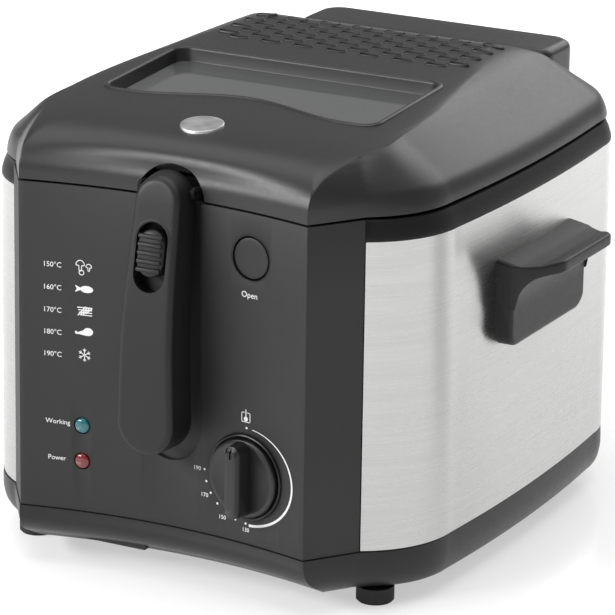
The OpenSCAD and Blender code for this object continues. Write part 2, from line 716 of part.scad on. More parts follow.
module lid_liner() {
    color(silver) here() difference() {
        round_plate(pot_hw + 4, pot_y0 - 4, pot_y1 + 4, pot_r + 4, lid_z0 + 16, lid_z0 + 17.2);
        box([-window_hw + 8, window_y0 + 24, lid_z0], [window_hw - 8, window_y1 - 8, lid_z0 + 20]);
        for (x = [-60:15:60], y = [190:16:238]) translate([x, y, lid_z0]) cylinder(r = 3, h = 20);
    }
}
module liner_skirt() {
    color(silver) here() difference() {
        round_plate(pot_hw + 4, pot_y0 - 4, pot_y1 + 4, pot_r + 4, lid_z0 + 1, lid_z0 + 16);
        round_plate(pot_hw + 2.8, pot_y0 - 2.8, pot_y1 + 2.8, pot_r + 2.8, lid_z0 - 1, lid_z0 + 18);
    }
}
module lid_seal() {
    color([0.3, 0.3, 0.31]) here() difference() {
        round_plate(pot_hw + 5.5, pot_y0 - 5.5, pot_y1 + 5.5, pot_r + 5.5, pot_z1 + pass_gap, lid_z0 + 1);
        round_plate(pot_hw + 1.3, pot_y0 - 1.3, pot_y1 + 1.3, pot_r + 1.3, pot_z1 - 2, lid_z0 + 3);
    }
}
module lid_filter() {
    color([0.55, 0.55, 0.52]) here()
        box([-window_hw, slot_y0 - 6, lid_z0 + 19.6], [window_hw, slot_y0 + 70, lid_z0 + 25]);
}
module filter_tray() {
    color(dark) here() difference() {
        box([-window_hw - 2, slot_y0 - 8, lid_z0 + 17.6], [window_hw + 2, slot_y0 + 72, lid_z0 + 25]);
        box([-window_hw, slot_y0 - 6, lid_z0 + 19.6], [window_hw, slot_y0 + 70, lid_z0 + 26]);
        for (x = [-60:15:60], y = [190:16:238]) translate([x, y, lid_z0]) cylinder(r = 3, h = 30);
    }
}
// Badge outline, grown by g, on the slope of the lid front.
module badge_shape(g) {
    translate([0, 43.5, lid_z0 + 30.6]) rotate([6.6, 0, 0]) scale([1, (badge_ry + g) / (badge_rx + g), 1])
        translate([0, 0, -1]) cylinder(r = badge_rx + g, h = 2 + g);
}
module lid_badge() {
    color(silver) here() badge_shape(0);
}
module lid_catch() {
    color(dark) intersection() {
        here() on_panel(button_x, lid_z0) difference() {
            translate([-6, 1, -12]) cube([12, 9, 12]);
            translate([-7, 3, -13]) cube([14, 12, 8]);
        }
        here() lid_solid(lid_t, lid_z0 - 1);
    }
}
module liner_screws() {
    color(steel) here() for (x = [-1, 1], y = [pot_y0 + 12, pot_y1 - 12])
        translate([x * (pot_hw - 42), y, lid_z0 + 17.2]) rotate([180, 0, 0]) translate([0, 0, 1.2])
            cylinder(r = 3, h = 1.6);
}

// Side view of the basket handle, between two depths behind its face.
function grip_side(a, b) = let (
    k = tan(grip_lean),
    zt = pivot_z,
    zl = face_z - (grip_out + face_y) / k
) [
    [face_y + (zt - face_z) * k + a, zt], [-grip_out + a, zl], [-grip_out + a, grip_z0 + 8],
    [-grip_out + (a > 0 ? a : 2), grip_z0], [-grip_out + b - 2, grip_z0], [-grip_out + b, grip_z0 + 4],
    [-grip_out + b, zl], [min(12.6, face_y + (zt - face_z) * k + b), zt]
];
module grip_front_view() {
    union() {
        translate([0, grip_z0 + grip_hw]) circle(r = grip_hw);
        polygon([[-grip_hw, grip_z0 + grip_hw], [grip_hw, grip_z0 + grip_hw],
            [grip_hw_top, pivot_z - 2], [-grip_hw_top, pivot_z - 2]]);
        translate([0, pivot_z - 2.8]) circle(r = grip_hw_top);
    }
}
module on_face() {
    translate([0, face_y, face_z]) rotate([-grip_lean, 0, 0]) children();
}
module pill(hw, l, y0, y1) {
    along(y0, y1) union() {
        translate([-hw, -l / 2 + hw]) square([2 * hw, l - 2 * hw]);
        translate([0, -l / 2 + hw]) circle(r = hw);
        translate([0, l / 2 - hw]) circle(r = hw);
    }
}
module grip_shell() {
    color(black) here() difference() {
        intersection() {
            union() {
                across(grip_hw + 1) polygon(grip_side(0, 13));
                intersection() {
                    translate([0, pivot_y, pivot_z]) rotate([0, 90, 0]) union() {
                        translate([0, 0, -9.5]) cylinder(r = grip_head_r, h = 19);
                        for (m = [0, 1]) mirror([0, 0, m]) translate([0, 0, 9.5 - eps])
                            cylinder(r1 = grip_head_r, r2 = grip_head_r - 4.95, h = 5.5);
                    }
                    box([-20, -20, pivot_z - 12], [20, pivot_y + 4.6, pivot_z + 20]);
                }
            }
            along(-40, 40) grip_front_view();
        }
        on_face() pill(slider_hw + 2, slider_l + slider_travel + 4.4, -10, 6);
        translate([-30, pivot_y, pivot_z]) rotate([0, 90, 0]) cylinder(r = 1.5 + run_fit, h = 60);
    }
}
module grip_back() {
    color(dark) here() difference() {
        intersection() {
            across(grip_hw + 1) polygon(grip_side(13, grip_depth));
            along(-40, 40) grip_front_view();
            box([-30, -40, 0], [30, 40, pivot_z - grip_head_r - 0.4]);
        }
        for (z = [grip_z0 + 16, grip_z0 + 50])
            translate([0, -grip_out + grip_depth - 2, z]) rotate([-90, 0, 0]) cylinder(r = 3.4, h = 20);
    }
}
module grip_screws() {
    color(steel) here() for (z = [grip_z0 + 16, grip_z0 + 50])
        translate([0, -grip_out + grip_depth - 2, z]) rotate([-90, 0, 0]) cylinder(r = 2.6, h = 1.8);
}
module thumb_slider() {
    color(dark) here() on_face() translate([0, 0, 3]) union() {
        pill(slider_hw, slider_l, -1.4, 5.6);
        for (z = [-8:4:8]) box([-slider_hw * 0.86, -2.8, z - 0.9], [slider_hw * 0.86, -1.3, z + 0.9]);
    }
}
module dial_knob() {
    color(dark) here() on_panel(dial_x, dial_z) difference() {
        union() {
            translate([0, 0, 1.2]) cylinder(r = dial_r, h = 3.2);
            translate([-dial_bar / 2, -dial_r + 0.5, 4.3])
                cube([dial_bar, 2 * dial_r - 1, dial_h - 4.3]);
        }
        translate([0, 0, -3]) cylinder(r = shaft_r, h = dial_h - 2);
        translate([-1, dial_r - 6, dial_h - 1]) cube([2, 8, 4]);
    }
}
module dial_shaft() {
    color(steel) here() on_panel(dial_x, dial_z) translate([0, 0, -27])
        cylinder(r = shaft_r, h = 27 + dial_h - 5);
}
module open_button() {
    color(black) here() on_panel(button_x, button_z) union() {
        translate([0, 0, -8]) cylinder(r = button_r, h = 8.2);
        translate([0, 0, -14]) cylinder(r = 3, h = 7);
    }
}
module latch_hook() {
    color(dark) here() on_panel(button_x, button_z) union() {
        translate([-5, -24, -17.6]) cube([10, lid_z0 - button_z + 30, 3]);
        translate([-5, lid_z0 - button_z + 3.4, -17.6]) cube([10, 2.6, 5.2]);
    }
}
module latch_guide() {
    color(dark) here() intersection() {
        on_panel(button_x, button_z) for (x = [-1, 1])
            translate([x * (5 + pass_gap + 1) - 1, -24, -24]) cube([2, 9, 24]);
        slab(steel_z0, rim_z1, wall_t, wall_t);
    }
}
module basket_ring(hw, y0, y1, r, z0, z1, t) {
    difference() {
        round_plate(hw, y0, y1, r, z0, z1);
        round_plate(hw - t, y0 + t, y1 - t, r - t, z0 - 1, z1 + 1);
    }
}
module basket_frame() {
    color(silver) here() union() {
        basket_ring(basket_hw, basket_y0, basket_y1, pot_r - basket_gap,
            basket_z1 - 3.4, basket_z1, 3.4);
        basket_ring(basket_hw - 3.4, basket_y0 + 3.4, basket_y1 - 3.4, pot_r - basket_gap - 3.4,
            basket_z0, basket_z0 + wire_t, wire_t);
    }
}
module basket_bars() {
    hx = basket_hw - 3.4;
    y0 = basket_y0 + 3.4;
    y1 = basket_y1 - 3.4;
    r = pot_r - basket_gap - 3.4;
    nx = floor((hx - r) / wire_pitch);
    ny = floor(((y1 - y0) / 2 - r) / wire_pitch);
    ym = (y0 + y1) / 2;
    color(silver) here() union() {
        for (i = [-nx:nx]) {
            box([i * wire_pitch - wire_t / 2, y0 + wire_t, basket_z0],
                [i * wire_pitch + wire_t / 2, y1 - wire_t, basket_z0 + wire_t]);
            for (y = [y0 + 0.2, y1 - wire_t + 0.2])
                box([i * wire_pitch - wire_t / 2, y, basket_z0 + wire_t],
                    [i * wire_pitch + wire_t / 2, y + wire_t - 0.4, basket_z1 - 3.4]);
        }
        for (i = [-ny:ny]) {
            box([-hx + wire_t, ym + i * wire_pitch - wire_t / 2, basket_z0],
                [hx - wire_t, ym + i * wire_pitch + wire_t / 2, basket_z0 + wire_t]);
            for (x = [-hx + 0.2, hx - wire_t + 0.2])
                box([x, ym + i * wire_pitch - wire_t / 2, basket_z0 + wire_t],
                    [x + wire_t - 0.4, ym + i * wire_pitch + wire_t / 2, basket_z1 - 3.4]);
        }
        for (z = [1:4]) basket_ring(hx, y0, y1, r, basket_z0 + z * (basket_h - 3.4) / 5,
            basket_z0 + z * (basket_h - 3.4) / 5 + wire_t, wire_t);
    }
}
module basket_bracket() {
    color(silver) here() union() {
        box([-16, basket_y0 - 1.6, basket_z1 - 30], [16, basket_y0, basket_z1 + 6]);
        box([-16, basket_y0 - 8, basket_z1 + 4.4], [16, basket_y0, basket_z1 + 6]);
    }
}

base_tray();
rear_sill();
feet();
front_fascia();
steel_casing();
top_rim();
rear_housing();
cord_inlet();
oil_pot();
pot_posts();
heating_element();
heat_shield();
shield_posts();
thermostat();
thermal_cutout();
terminal_block();
lamp_board();
lamp_working();
lamp_power();
dial_ring_trim();
button_ring();
button_guide();
latch_guide();
grip_bracket();
grip_pin();
side_handle_right();
side_handle_left();
side_handle_screws();
hinge_lugs();
hinge_pin();
base_screws();
lid_shell();
lid_knuckles();
lid_window();
window_frame();
lid_liner();
liner_skirt();
lid_seal();
lid_filter();
filter_tray();
lid_badge();
lid_catch();
liner_screws();
grip_shell();
grip_back();
grip_screws();
thumb_slider();
dial_knob();
dial_shaft();
open_button();
latch_hook();
basket_frame();
basket_bars();
basket_bracket();
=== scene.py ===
import json
import math

import bmesh
import bpy
from bpy.props import FloatProperty, FloatVectorProperty, IntProperty, PointerProperty
from mathutils import Matrix, Vector
from mathutils.geometry import tessellate_polygon

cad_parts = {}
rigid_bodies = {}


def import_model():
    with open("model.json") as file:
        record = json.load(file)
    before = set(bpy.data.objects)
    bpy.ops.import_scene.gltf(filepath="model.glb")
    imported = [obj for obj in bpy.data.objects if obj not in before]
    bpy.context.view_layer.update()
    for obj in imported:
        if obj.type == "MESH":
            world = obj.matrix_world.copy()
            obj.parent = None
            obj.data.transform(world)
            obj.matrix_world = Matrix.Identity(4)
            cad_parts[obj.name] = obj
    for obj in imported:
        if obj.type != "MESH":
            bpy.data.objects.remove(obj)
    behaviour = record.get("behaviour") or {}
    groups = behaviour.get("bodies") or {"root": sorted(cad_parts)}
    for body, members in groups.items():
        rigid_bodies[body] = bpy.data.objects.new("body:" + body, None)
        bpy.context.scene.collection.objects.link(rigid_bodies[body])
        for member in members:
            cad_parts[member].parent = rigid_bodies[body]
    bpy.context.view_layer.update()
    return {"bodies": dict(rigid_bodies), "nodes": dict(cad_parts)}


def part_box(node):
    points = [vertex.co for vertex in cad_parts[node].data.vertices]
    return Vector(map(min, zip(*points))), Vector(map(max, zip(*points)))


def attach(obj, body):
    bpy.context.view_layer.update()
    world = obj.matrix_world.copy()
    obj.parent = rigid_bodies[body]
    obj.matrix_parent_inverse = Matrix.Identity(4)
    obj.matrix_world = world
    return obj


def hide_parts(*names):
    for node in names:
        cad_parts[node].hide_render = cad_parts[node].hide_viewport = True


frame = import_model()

bl_info = {
    "name": "Deep Fryer Builder",
    "version": (1, 0, 0),
    "blender": (4, 5, 0),
    "location": "3D Viewport > Sidebar > Fryer",
    "description": "Builds the visible pieces of a household deep fryer round its packed frame",
    "category": "Object",
}

# All shaping below is in millimetres, with Y measured back from the two front
# corners of the control panel. `place` turns such a point into the frame's metres.
SETBACK = -1000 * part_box("front_fascia")[0].y


def edge(node, end, axis):
    """Low (0) or high (1) edge of a CAD node along an axis, in millimetres."""
    return 1000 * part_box(node)[end][axis]


STEEL_Z0 = edge("steel_casing", 0, 2)
STEEL_Z1 = edge("steel_casing", 1, 2)
RIM_Z = edge("top_rim", 1, 2)
LID_Z = edge("lid_shell", 0, 2)
LID_TOP = edge("lid_shell", 1, 2)
BACK_Y = edge("steel_casing", 1, 1) + SETBACK
BOX_Y0 = edge("rear_housing", 0, 1) + SETBACK
BOX_Y1 = edge("rear_housing", 1, 1) + SETBACK
BOX_HW = edge("rear_housing", 1, 0)
BOX_Z = edge("rear_housing", 1, 2)
FOOT_Z = edge("base_tray", 0, 2)
POT_HW = edge("oil_pot", 1, 0) - 6
POT_Y0 = edge("oil_pot", 0, 1) + SETBACK + 6
POT_Y1 = edge("oil_pot", 1, 1) + SETBACK - 6
POT_Z0 = edge("oil_pot", 0, 2)
POT_Z1 = edge("oil_pot", 1, 2)
HINGE_Y = 0.5 * (edge("hinge_pin", 0, 1) + edge("hinge_pin", 1, 1)) + SETBACK
HINGE_Z = 0.5 * (edge("hinge_pin", 0, 2) + edge("hinge_pin", 1, 2))
PIVOT_Y = 7.8             # axis of the basket handle
PIVOT_Z = RIM_Z + 5.7
POT_R = 45                # corner radius of the pot
SHEET = 1.0               # thickness of the steel
PANEL_HW = 84.0           # half width of the panel between its two front corners
CORNER = 75.2             # centre of the front corner rounding, the same in X and Y
CORNER_R = 55.8
BULGE = 3.8               # how far the sides swell at their middle
REAR_R = 45.0
CHEEK_ANGLE = math.radians(54)
CHEEK_SIN = math.sin(CHEEK_ANGLE)
CHEEK_COS = math.cos(CHEEK_ANGLE)
EVEN = 0.001              # a point this near the middle line isn't mirrored


class FryerSizes(bpy.types.PropertyGroup):
    """Sizes a maker would change"""
    panel_dish: FloatProperty(name="Panel dish", default=0.011, unit="LENGTH",
                              description="How far the control panel is dished in at its middle")
    wall: FloatProperty(name="Wall", default=0.0026, unit="LENGTH",
                        description="Thickness of the moulded walls")
    edge_round: FloatProperty(name="Edge rounding", default=0.0007, unit="LENGTH",
                              description="Rounding of the panel edges")
    grip_round: FloatProperty(name="Handle rounding", default=0.0034, unit="LENGTH",
                              description="Rounding round the face of the basket handle")
    slot_length: FloatProperty(name="Vent slot length", default=0.0115, unit="LENGTH",
                               description="Length of one slot in the lid grille")
    slot_width: FloatProperty(name="Vent slot width", default=0.003, unit="LENGTH",
                              description="Width of one slot in the lid grille")
    slot_rows: IntProperty(name="Vent slot rows", default=8, min=1, max=12,
                           description="Number of rows of slots in the lid grille")
    window_drop: FloatProperty(name="Window depth", default=0.0072, unit="LENGTH",
                               description="How far the window glass lies below the lid surface")
    wire: FloatProperty(name="Basket wire", default=0.001, unit="LENGTH",
                        description="Radius of the basket wires")
    print_height: FloatProperty(name="Print height", default=0.00012, unit="LENGTH",
                                description="Thickness of the printed marks")


class FryerColours(bpy.types.PropertyGroup):
    """Colours a maker would change"""
    shell: FloatVectorProperty(name="Shell plastic", subtype="COLOR", default=(0.012, 0.012, 0.0122),
                               description="Colour of the lid, panel and base")
    grip: FloatVectorProperty(name="Handle plastic", subtype="COLOR", default=(0.010, 0.010, 0.0102),
                              description="Colour of the handles and dial")
    trim: FloatVectorProperty(name="Trim plastic", subtype="COLOR", default=(0.007, 0.007, 0.0072),
                              description="Colour of the rings and the slider")
    steel: FloatVectorProperty(name="Brushed steel", subtype="COLOR", default=(0.53, 0.53, 0.525),
                               description="Colour of the steel sides")
    marks: FloatVectorProperty(name="Printed marks", subtype="COLOR", default=(0.72, 0.72, 0.72),
                               description="Colour of the printed scale and symbols")
    working: FloatVectorProperty(name="Working lamp", subtype="COLOR", default=(0.01, 0.11, 0.13),
                                 description="Colour of the upper lamp")
    power: FloatVectorProperty(name="Power lamp", subtype="COLOR", default=(0.15, 0.01, 0.014),
                               description="Colour of the lower lamp")


def sizes():
    return bpy.context.scene.fryer_sizes


def colours():
    return bpy.context.scene.fryer_colours


# ---------------------------------------------------------------- shape helpers
class Track:
    """A smooth rising curve through given points that never overshoots them."""

    def __init__(self, points):
        self.x = [p[0] for p in points]
        self.y = [p[1] for p in points]
        step = [(self.y[i + 1] - self.y[i]) / (self.x[i + 1] - self.x[i]) for i in range(len(points) - 1)]
        self.m = [step[0]]
        for a, b in zip(step, step[1:]):
            self.m.append(0.0 if a * b <= 0 else 2 * a * b / (a + b))
        self.m.append(step[-1])

    def __call__(self, x):
        if x <= self.x[0]:
            return self.y[0]
        if x >= self.x[-1]:
            return self.y[-1]
        i = max(k for k in range(len(self.x) - 1) if self.x[k] <= x)
        h = self.x[i + 1] - self.x[i]
        t = (x - self.x[i]) / h
        return ((1 + 2 * t) * (1 - t) ** 2 * self.y[i] + t * (1 - t) ** 2 * h * self.m[i]
                + t * t * (3 - 2 * t) * self.y[i + 1] + t * t * (t - 1) * h * self.m[i + 1])


def ease(t):
    t = min(1.0, max(0.0, t))
    return t * t * (3 - 2 * t)


def spread(a, b, n):
    return [a + (b - a) * i / n for i in range(n + 1)]


def place(p):
    return (p[0] / 1000, (p[1] - SETBACK) / 1000, p[2] / 1000)


def panel_y(x):
    return 1000 * sizes().panel_dish * (1 - (x / PANEL_HW) ** 2)


def panel_tilt(x):
    return math.atan(-2 * 1000 * sizes().panel_dish * x / PANEL_HW ** 2)


def on_panel(x, z):
    """Matrix that puts a piece drawn in X-Y, facing +Z, on the dished panel."""
    a = panel_tilt(x)
    return Matrix(((math.cos(a), 0, math.sin(a), x), (math.sin(a), 0, -math.cos(a), panel_y(x)),
                   (0, 1, 0, z), (0, 0, 0, 1)))


def side_x(y, inset):
    middle = 0.5 * (CORNER + BACK_Y - REAR_R)
    return CORNER + CORNER_R + BULGE * (1 - ((y - middle) / (middle - CORNER)) ** 2) - inset


# Points of a half outline up to the end of the cheek, and round the front corner.
CHEEK_COUNT = 35
BEND_COUNT = 22


def half_ring(front, cheek, side, open_front=False, rear=None, shift=0.0):
    """Right half of the body outline: the panel moved back by `front`, the cheek
    set in by `cheek` and the corner and sides by `side`."""
    x = PANEL_HW
    for _ in range(12):
        y = panel_y(x) + front
        x = PANEL_HW + (CHEEK_COS * y - cheek) / CHEEK_SIN
    if open_front:
        y = -9.0
        x = PANEL_HW + (CHEEK_COS * y - cheek) / CHEEK_SIN
        points = [(0.0, y), (x * 0.5, y)]
    else:
        points = [(x * i / 26, panel_y(x * i / 26) + front) for i in range(26)]
    px = PANEL_HW - CHEEK_SIN * cheek
    py = CHEEK_COS * cheek
    b = (CORNER - px) * CHEEK_COS + (CORNER - py) * CHEEK_SIN
    c = (CORNER - px) ** 2 + (CORNER - py) ** 2
    t = b - math.sqrt(max(0.0, b * b - c + (CORNER_R - cheek) ** 2))
    end = (px + CHEEK_COS * t, py + CHEEK_SIN * t)
    gain = side - shift - cheek if open_front else 0.0
    for i in range(9):
        in_by = gain * ease(0.38 * i / 8)
        points.append((x + (end[0] - x) * i / 8 - CHEEK_SIN * in_by,
                       y + (end[1] - y) * i / 8 + CHEEK_COS * in_by))
    a0 = math.atan2(end[1] - CORNER, end[0] - CORNER)
    for i in range(1, BEND_COUNT + 1):
        k = i / BEND_COUNT
        inset = cheek + (side - shift - cheek) * ease(0.38 + 0.62 * k if open_front else k)
        r = max(CORNER_R - inset, 6.0)
        a = a0 * (1 - k)
        points.append((CORNER + CORNER_R - inset - r + r * math.cos(a), CORNER + r * math.sin(a)))
    back = (BACK_Y if rear is None else rear)
    rear_r = max(REAR_R - side, 6.0)
    y1 = back - side - rear_r
    for i in range(1, 25):
        y = CORNER + (y1 - CORNER) * i / 25
        points.append((side_x(min(y, BACK_Y - REAR_R), side) + shift * (1 - ease((y - CORNER) / 110)), y))
    x1 = side_x(BACK_Y - REAR_R, side) - rear_r
    for i in range(17):
        a = math.pi / 2 * i / 16
        points.append((x1 + rear_r * math.cos(a), y1 + rear_r * math.sin(a)))
    points += [(x1 * (1 - i / 6), back - side) for i in range(1, 7)]
    return points


def whole(half):
    """Closes a right-hand half outline with its mirror image."""
    return half + [(-x, y) for x, y in reversed(half) if x > EVEN]


def ring(front, cheek, side, **more):
    return whole(half_ring(front, cheek, side, **more))


def rounded(hw, y0, y1, r, n=12):
    """Rounded rectangle in plan, starting at the middle of its front."""
    half = [(hw * 0.0, y0), ((hw - r) * 0.5, y0)]
    for k, (cx, cy) in enumerate(((hw - r, y0 + r), (hw - r, y1 - r))):
        for i in range(n + 1):
            a = math.radians(-90 + 90 * k) + math.pi / 2 * i / n
            half.append((cx + r * math.cos(a), cy + r * math.sin(a)))
        if k == 0:
            half += [(hw, y0 + r + (y1 - y0 - 2 * r) * i / 6) for i in range(1, 6)]
    half += [((hw - r) * 0.5, y1), (0.0, y1)]
    return whole(half)


def matched(loop, count):
    """The same loop with `count` points spaced evenly along it."""
    pts = [Vector(p) for p in loop] + [Vector(loop[0])]
    run = [0.0]
    for a, b in zip(pts, pts[1:]):
        run.append(run[-1] + (b - a).length)
    out, k = [], 0
    for i in range(count):
        d = run[-1] * i / count
        while run[k + 1] < d:
            k += 1
        t = (d - run[k]) / max(1e-9, run[k + 1] - run[k])
        p = pts[k].lerp(pts[k + 1], t)
        out.append(tuple(p))
    return out


def fill(bm, verts, flip=False):
    """Closes a ring of vertices with triangles."""
    for tri in tessellate_polygon([[v.co for v in verts]]):
        face = [verts[i] for i in tri]
        try:
            bm.faces.new(reversed(face) if flip else face)
        except ValueError:
            pass


def loft(bm, rings, closed=False, caps=True, matrix=None):
    """Skins rings of equal count; closed joins the last ring to the first."""
    rows = []
    for points in rings:
        row = []
        for p in points:
            q = matrix @ Vector(p) if matrix else p
            row.append(bm.verts.new(place(q)))
        rows.append(row)
    pairs = list(zip(rows, rows[1:])) + ([(rows[-1], rows[0])] if closed else [])
    n = len(rows[0])
    for a, b in pairs:
        for i in range(n):
            j = (i + 1) % n
            bm.faces.new((a[i], a[j], b[j], b[i]))
    if caps and not closed:
        fill(bm, rows[0], True)
        fill(bm, rows[-1])
    return rows


def circle(r, z, n):
    return [(r * math.cos(2 * math.pi * i / n), r * math.sin(2 * math.pi * i / n), z) for i in range(n)]


def turned(bm, profile, matrix, n=64):
    """Turns a profile of (radius, height) about the matrix's Z."""
    loft(bm, [circle(max(r, 0.02), z, n) for r, z in profile], matrix=matrix)


def finished(bm):
    bmesh.ops.remove_doubles(bm, verts=bm.verts, dist=1e-7)
    bmesh.ops.recalc_face_normals(bm, faces=bm.faces)


def body_mesh(name, build):
    bm = bmesh.new()
    build(bm)
    finished(bm)
    mesh = bpy.data.meshes.new(name)
    bm.to_mesh(mesh)
    bm.free()
    return mesh


def scratch(name, build):
    """A working object that a later step uses up."""
    obj = bpy.data.objects.new(name, body_mesh(name, build))
    bpy.context.scene.collection.objects.link(obj)
    return obj


def settle(obj):
    """Replaces an object's mesh by what its modifiers make."""
    graph = bpy.context.evaluated_depsgraph_get()
    mesh = bpy.data.meshes.new_from_object(obj.evaluated_get(graph))
    obj.modifiers.clear()
    obj.data = mesh
    return obj


def combine(obj, other, how):
    cut = obj.modifiers.new("cut", "BOOLEAN")
    cut.operation = how
    cut.solver = "MANIFOLD"
    cut.object = other
    settle(obj)
    if not obj.data.polygons:
        raise RuntimeError(f"{obj.name}: nothing left after {how.lower()} with {other.name}")
    bpy.data.objects.remove(other)
    return obj


def soften(obj, width, limit=35, segments=2):
    """Rounds the sharp edges of a piece."""
    bevel = obj.modifiers.new("round", "BEVEL")
    bevel.width = width
    bevel.segments = segments
    bevel.limit_method = "ANGLE"
    bevel.angle_limit = math.radians(limit)
    bevel.use_clamp_overlap = True
    return settle(obj)


def piece(obj, material, body, replaces=(), angle=30):
    """Gives a piece its finish and shading, and lets it ride on its body."""
    obj.data.materials.clear()
    obj.data.materials.append(bpy.data.materials[material])
    obj.data.shade_smooth()
    obj.data.set_sharp_from_angle(angle=math.radians(angle))
    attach(obj, body)
    if replaces:
        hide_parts(*replaces)
    return obj


def join(obj, *others):
    """Adds other working objects' shells to a piece as they are."""
    bm = bmesh.new()
    bm.from_mesh(obj.data)
    for other in others:
        bm.from_mesh(other.data)
        bpy.data.objects.remove(other)
    bm.to_mesh(obj.data)
    bm.free()
    return obj


def drum(bm, radius, z0, z1, matrix, n=64):
    turned(bm, [(radius, z0), (radius, z1)], matrix, n)


def block(bm, low, high):
    loft(bm, [[(low[0], low[1], z), (high[0], low[1], z), (high[0], high[1], z), (low[0], high[1], z)]
              for z in (low[2], high[2])])


# ---------------------------------------------------------------- finishes
class Nodes:
    """Short way to lay out a material's nodes."""

    def __init__(self, name):
        self.material = bpy.data.materials.new(name)
        self.material.use_nodes = True
        self.tree = self.material.node_tree
        self.tree.nodes.clear()
        self.out = self.add("ShaderNodeOutputMaterial")
        self.shader = self.add("ShaderNodeBsdfPrincipled")
        self.link(self.shader, "BSDF", self.out, "Surface")
        self.coords = self.add("ShaderNodeTexCoord")

    def add(self, kind, **values):
        node = self.tree.nodes.new(kind)
        for key, value in values.items():
            setattr(node, key, value)
        return node

    def link(self, a, out, b, into):
        self.tree.links.new(a.outputs[out], b.inputs[into])

    def noise(self, scale, stretch=(1, 1, 1), detail=2.0, rough=0.5):
        mapping = self.add("ShaderNodeMapping")
        mapping.inputs["Scale"].default_value = stretch
        self.link(self.coords, "Object", mapping, "Vector")
        tex = self.add("ShaderNodeTexNoise")
        tex.inputs["Scale"].default_value = scale
        tex.inputs["Detail"].default_value = detail
        tex.inputs["Roughness"].default_value = rough
        self.link(mapping, "Vector", tex, "Vector")
        return tex

    def ramp(self, source, low, high, into, a=0.3, b=0.7):
        """Spreads a pattern between two colours or two values."""
        ramp = self.add("ShaderNodeValToRGB")
        as_colour = [tuple(c) + (1,) if hasattr(c, "__len__") else (c, c, c, 1) for c in (low, high)]
        ramp.color_ramp.elements[0].position = a
        ramp.color_ramp.elements[0].color = as_colour[0]
        ramp.color_ramp.elements[1].position = b
        ramp.color_ramp.elements[1].color = as_colour[1]
        self.link(source, "Fac", ramp, "Fac")
        self.tree.links.new(ramp.outputs["Color"], self.shader.inputs[into])
        return ramp

    def bump(self, source, strength, depth, below=None, out="Fac"):
        node = self.add("ShaderNodeBump")
        node.inputs["Strength"].default_value = strength
        node.inputs["Distance"].default_value = depth
        self.link(source, out, node, "Height")
        if below:
            self.link(below, "Normal", node, "Normal")
        self.link(node, "Normal", self.shader, "Normal")
        return node

    def set(self, **values):
        for key, value in values.items():
            self.shader.inputs[key.replace("_", " ")].default_value = value


def tint(colour, k):
    return tuple(max(0.0, c * k) for c in colour)


def moulded(name, colour, rough, grain, depth, spread_by=0.12, ior=1.48):
    """Moulded plastic: fine spark-eroded grain, slight flow shading, light wear."""
    m = Nodes(name)
    flow = m.noise(9.0, detail=3.0)
    fine = m.noise(grain, detail=3.0, rough=0.6)
    m.ramp(flow, tint(colour, 1 - spread_by), tint(colour, 1 + spread_by), "Base Color")
    m.ramp(m.noise(400.0, detail=3.0), rough - 0.025, rough + 0.025, "Roughness")
    coarse = m.bump(m.noise(grain * 0.23, detail=1.0), 0.25, depth)
    m.bump(fine, 0.6, depth, below=coarse)
    m.set(IOR=ior)
    return m.material


def brushed(name, colour, rough, across, depth, anisotropy=0.85):
    """Sheet metal brushed sideways: long fine scratches with soft cloudy bands."""
    m = Nodes(name)
    hair = m.noise(1.0, stretch=(26, 26, across), detail=4.0, rough=0.7)
    band = m.noise(1.0, stretch=(5, 5, across * 0.12), detail=2.0)
    m.ramp(hair, tint(colour, 0.92), tint(colour, 1.05), "Base Color", 0.25, 0.75)
    m.ramp(band, rough - 0.015, rough + 0.02, "Roughness")
    m.bump(hair, 0.1, depth)
    tangent = m.add("ShaderNodeTangent", direction_type="RADIAL", axis="Z")
    m.link(tangent, "Tangent", m.shader, "Tangent")
    m.set(Metallic=1.0, Anisotropic=anisotropy, Anisotropic_Rotation=0.25)
    return m.material


def metal(name, colour, rough, scale=60.0, depth=0.00004, metallic=1.0):
    """Drawn or pressed metal with soft blotches and fine pits."""
    m = Nodes(name)
    cloud = m.noise(scale, detail=5.0)
    m.ramp(cloud, tint(colour, 0.85), tint(colour, 1.1), "Base Color")
    m.ramp(m.noise(scale * 4, detail=3.0), rough - 0.06, rough + 0.08, "Roughness")
    m.bump(m.noise(scale * 30, detail=2.0), 0.3, depth)
    m.set(Metallic=metallic)
    return m.material


def lens(name, colour, rough=0.12):
    """Moulded lamp lens with a faint fluted inside."""
    m = Nodes(name)
    m.ramp(m.noise(420.0, detail=2.0), tint(colour, 0.7), tint(colour, 1.35), "Base Color")
    m.ramp(m.noise(900.0, detail=1.0), rough, rough + 0.1, "Roughness")
    m.bump(m.noise(700.0, detail=1.0), 0.15, 0.0001)
    m.set(IOR=1.5, Coat_Weight=0.6, Coat_Roughness=0.05)
    return m.material


def cloth(name, colour):
    """Felted filter fleece."""
    m = Nodes(name)
    fibre = m.noise(1500.0, detail=6.0, rough=0.8)
    m.ramp(fibre, tint(colour, 0.6), tint(colour, 1.3), "Base Color")
    m.ramp(m.noise(60.0), 0.85, 0.97, "Roughness")
    m.bump(fibre, 0.8, 0.0005)
    m.set(Sheen_Weight=0.3)
    return m.material


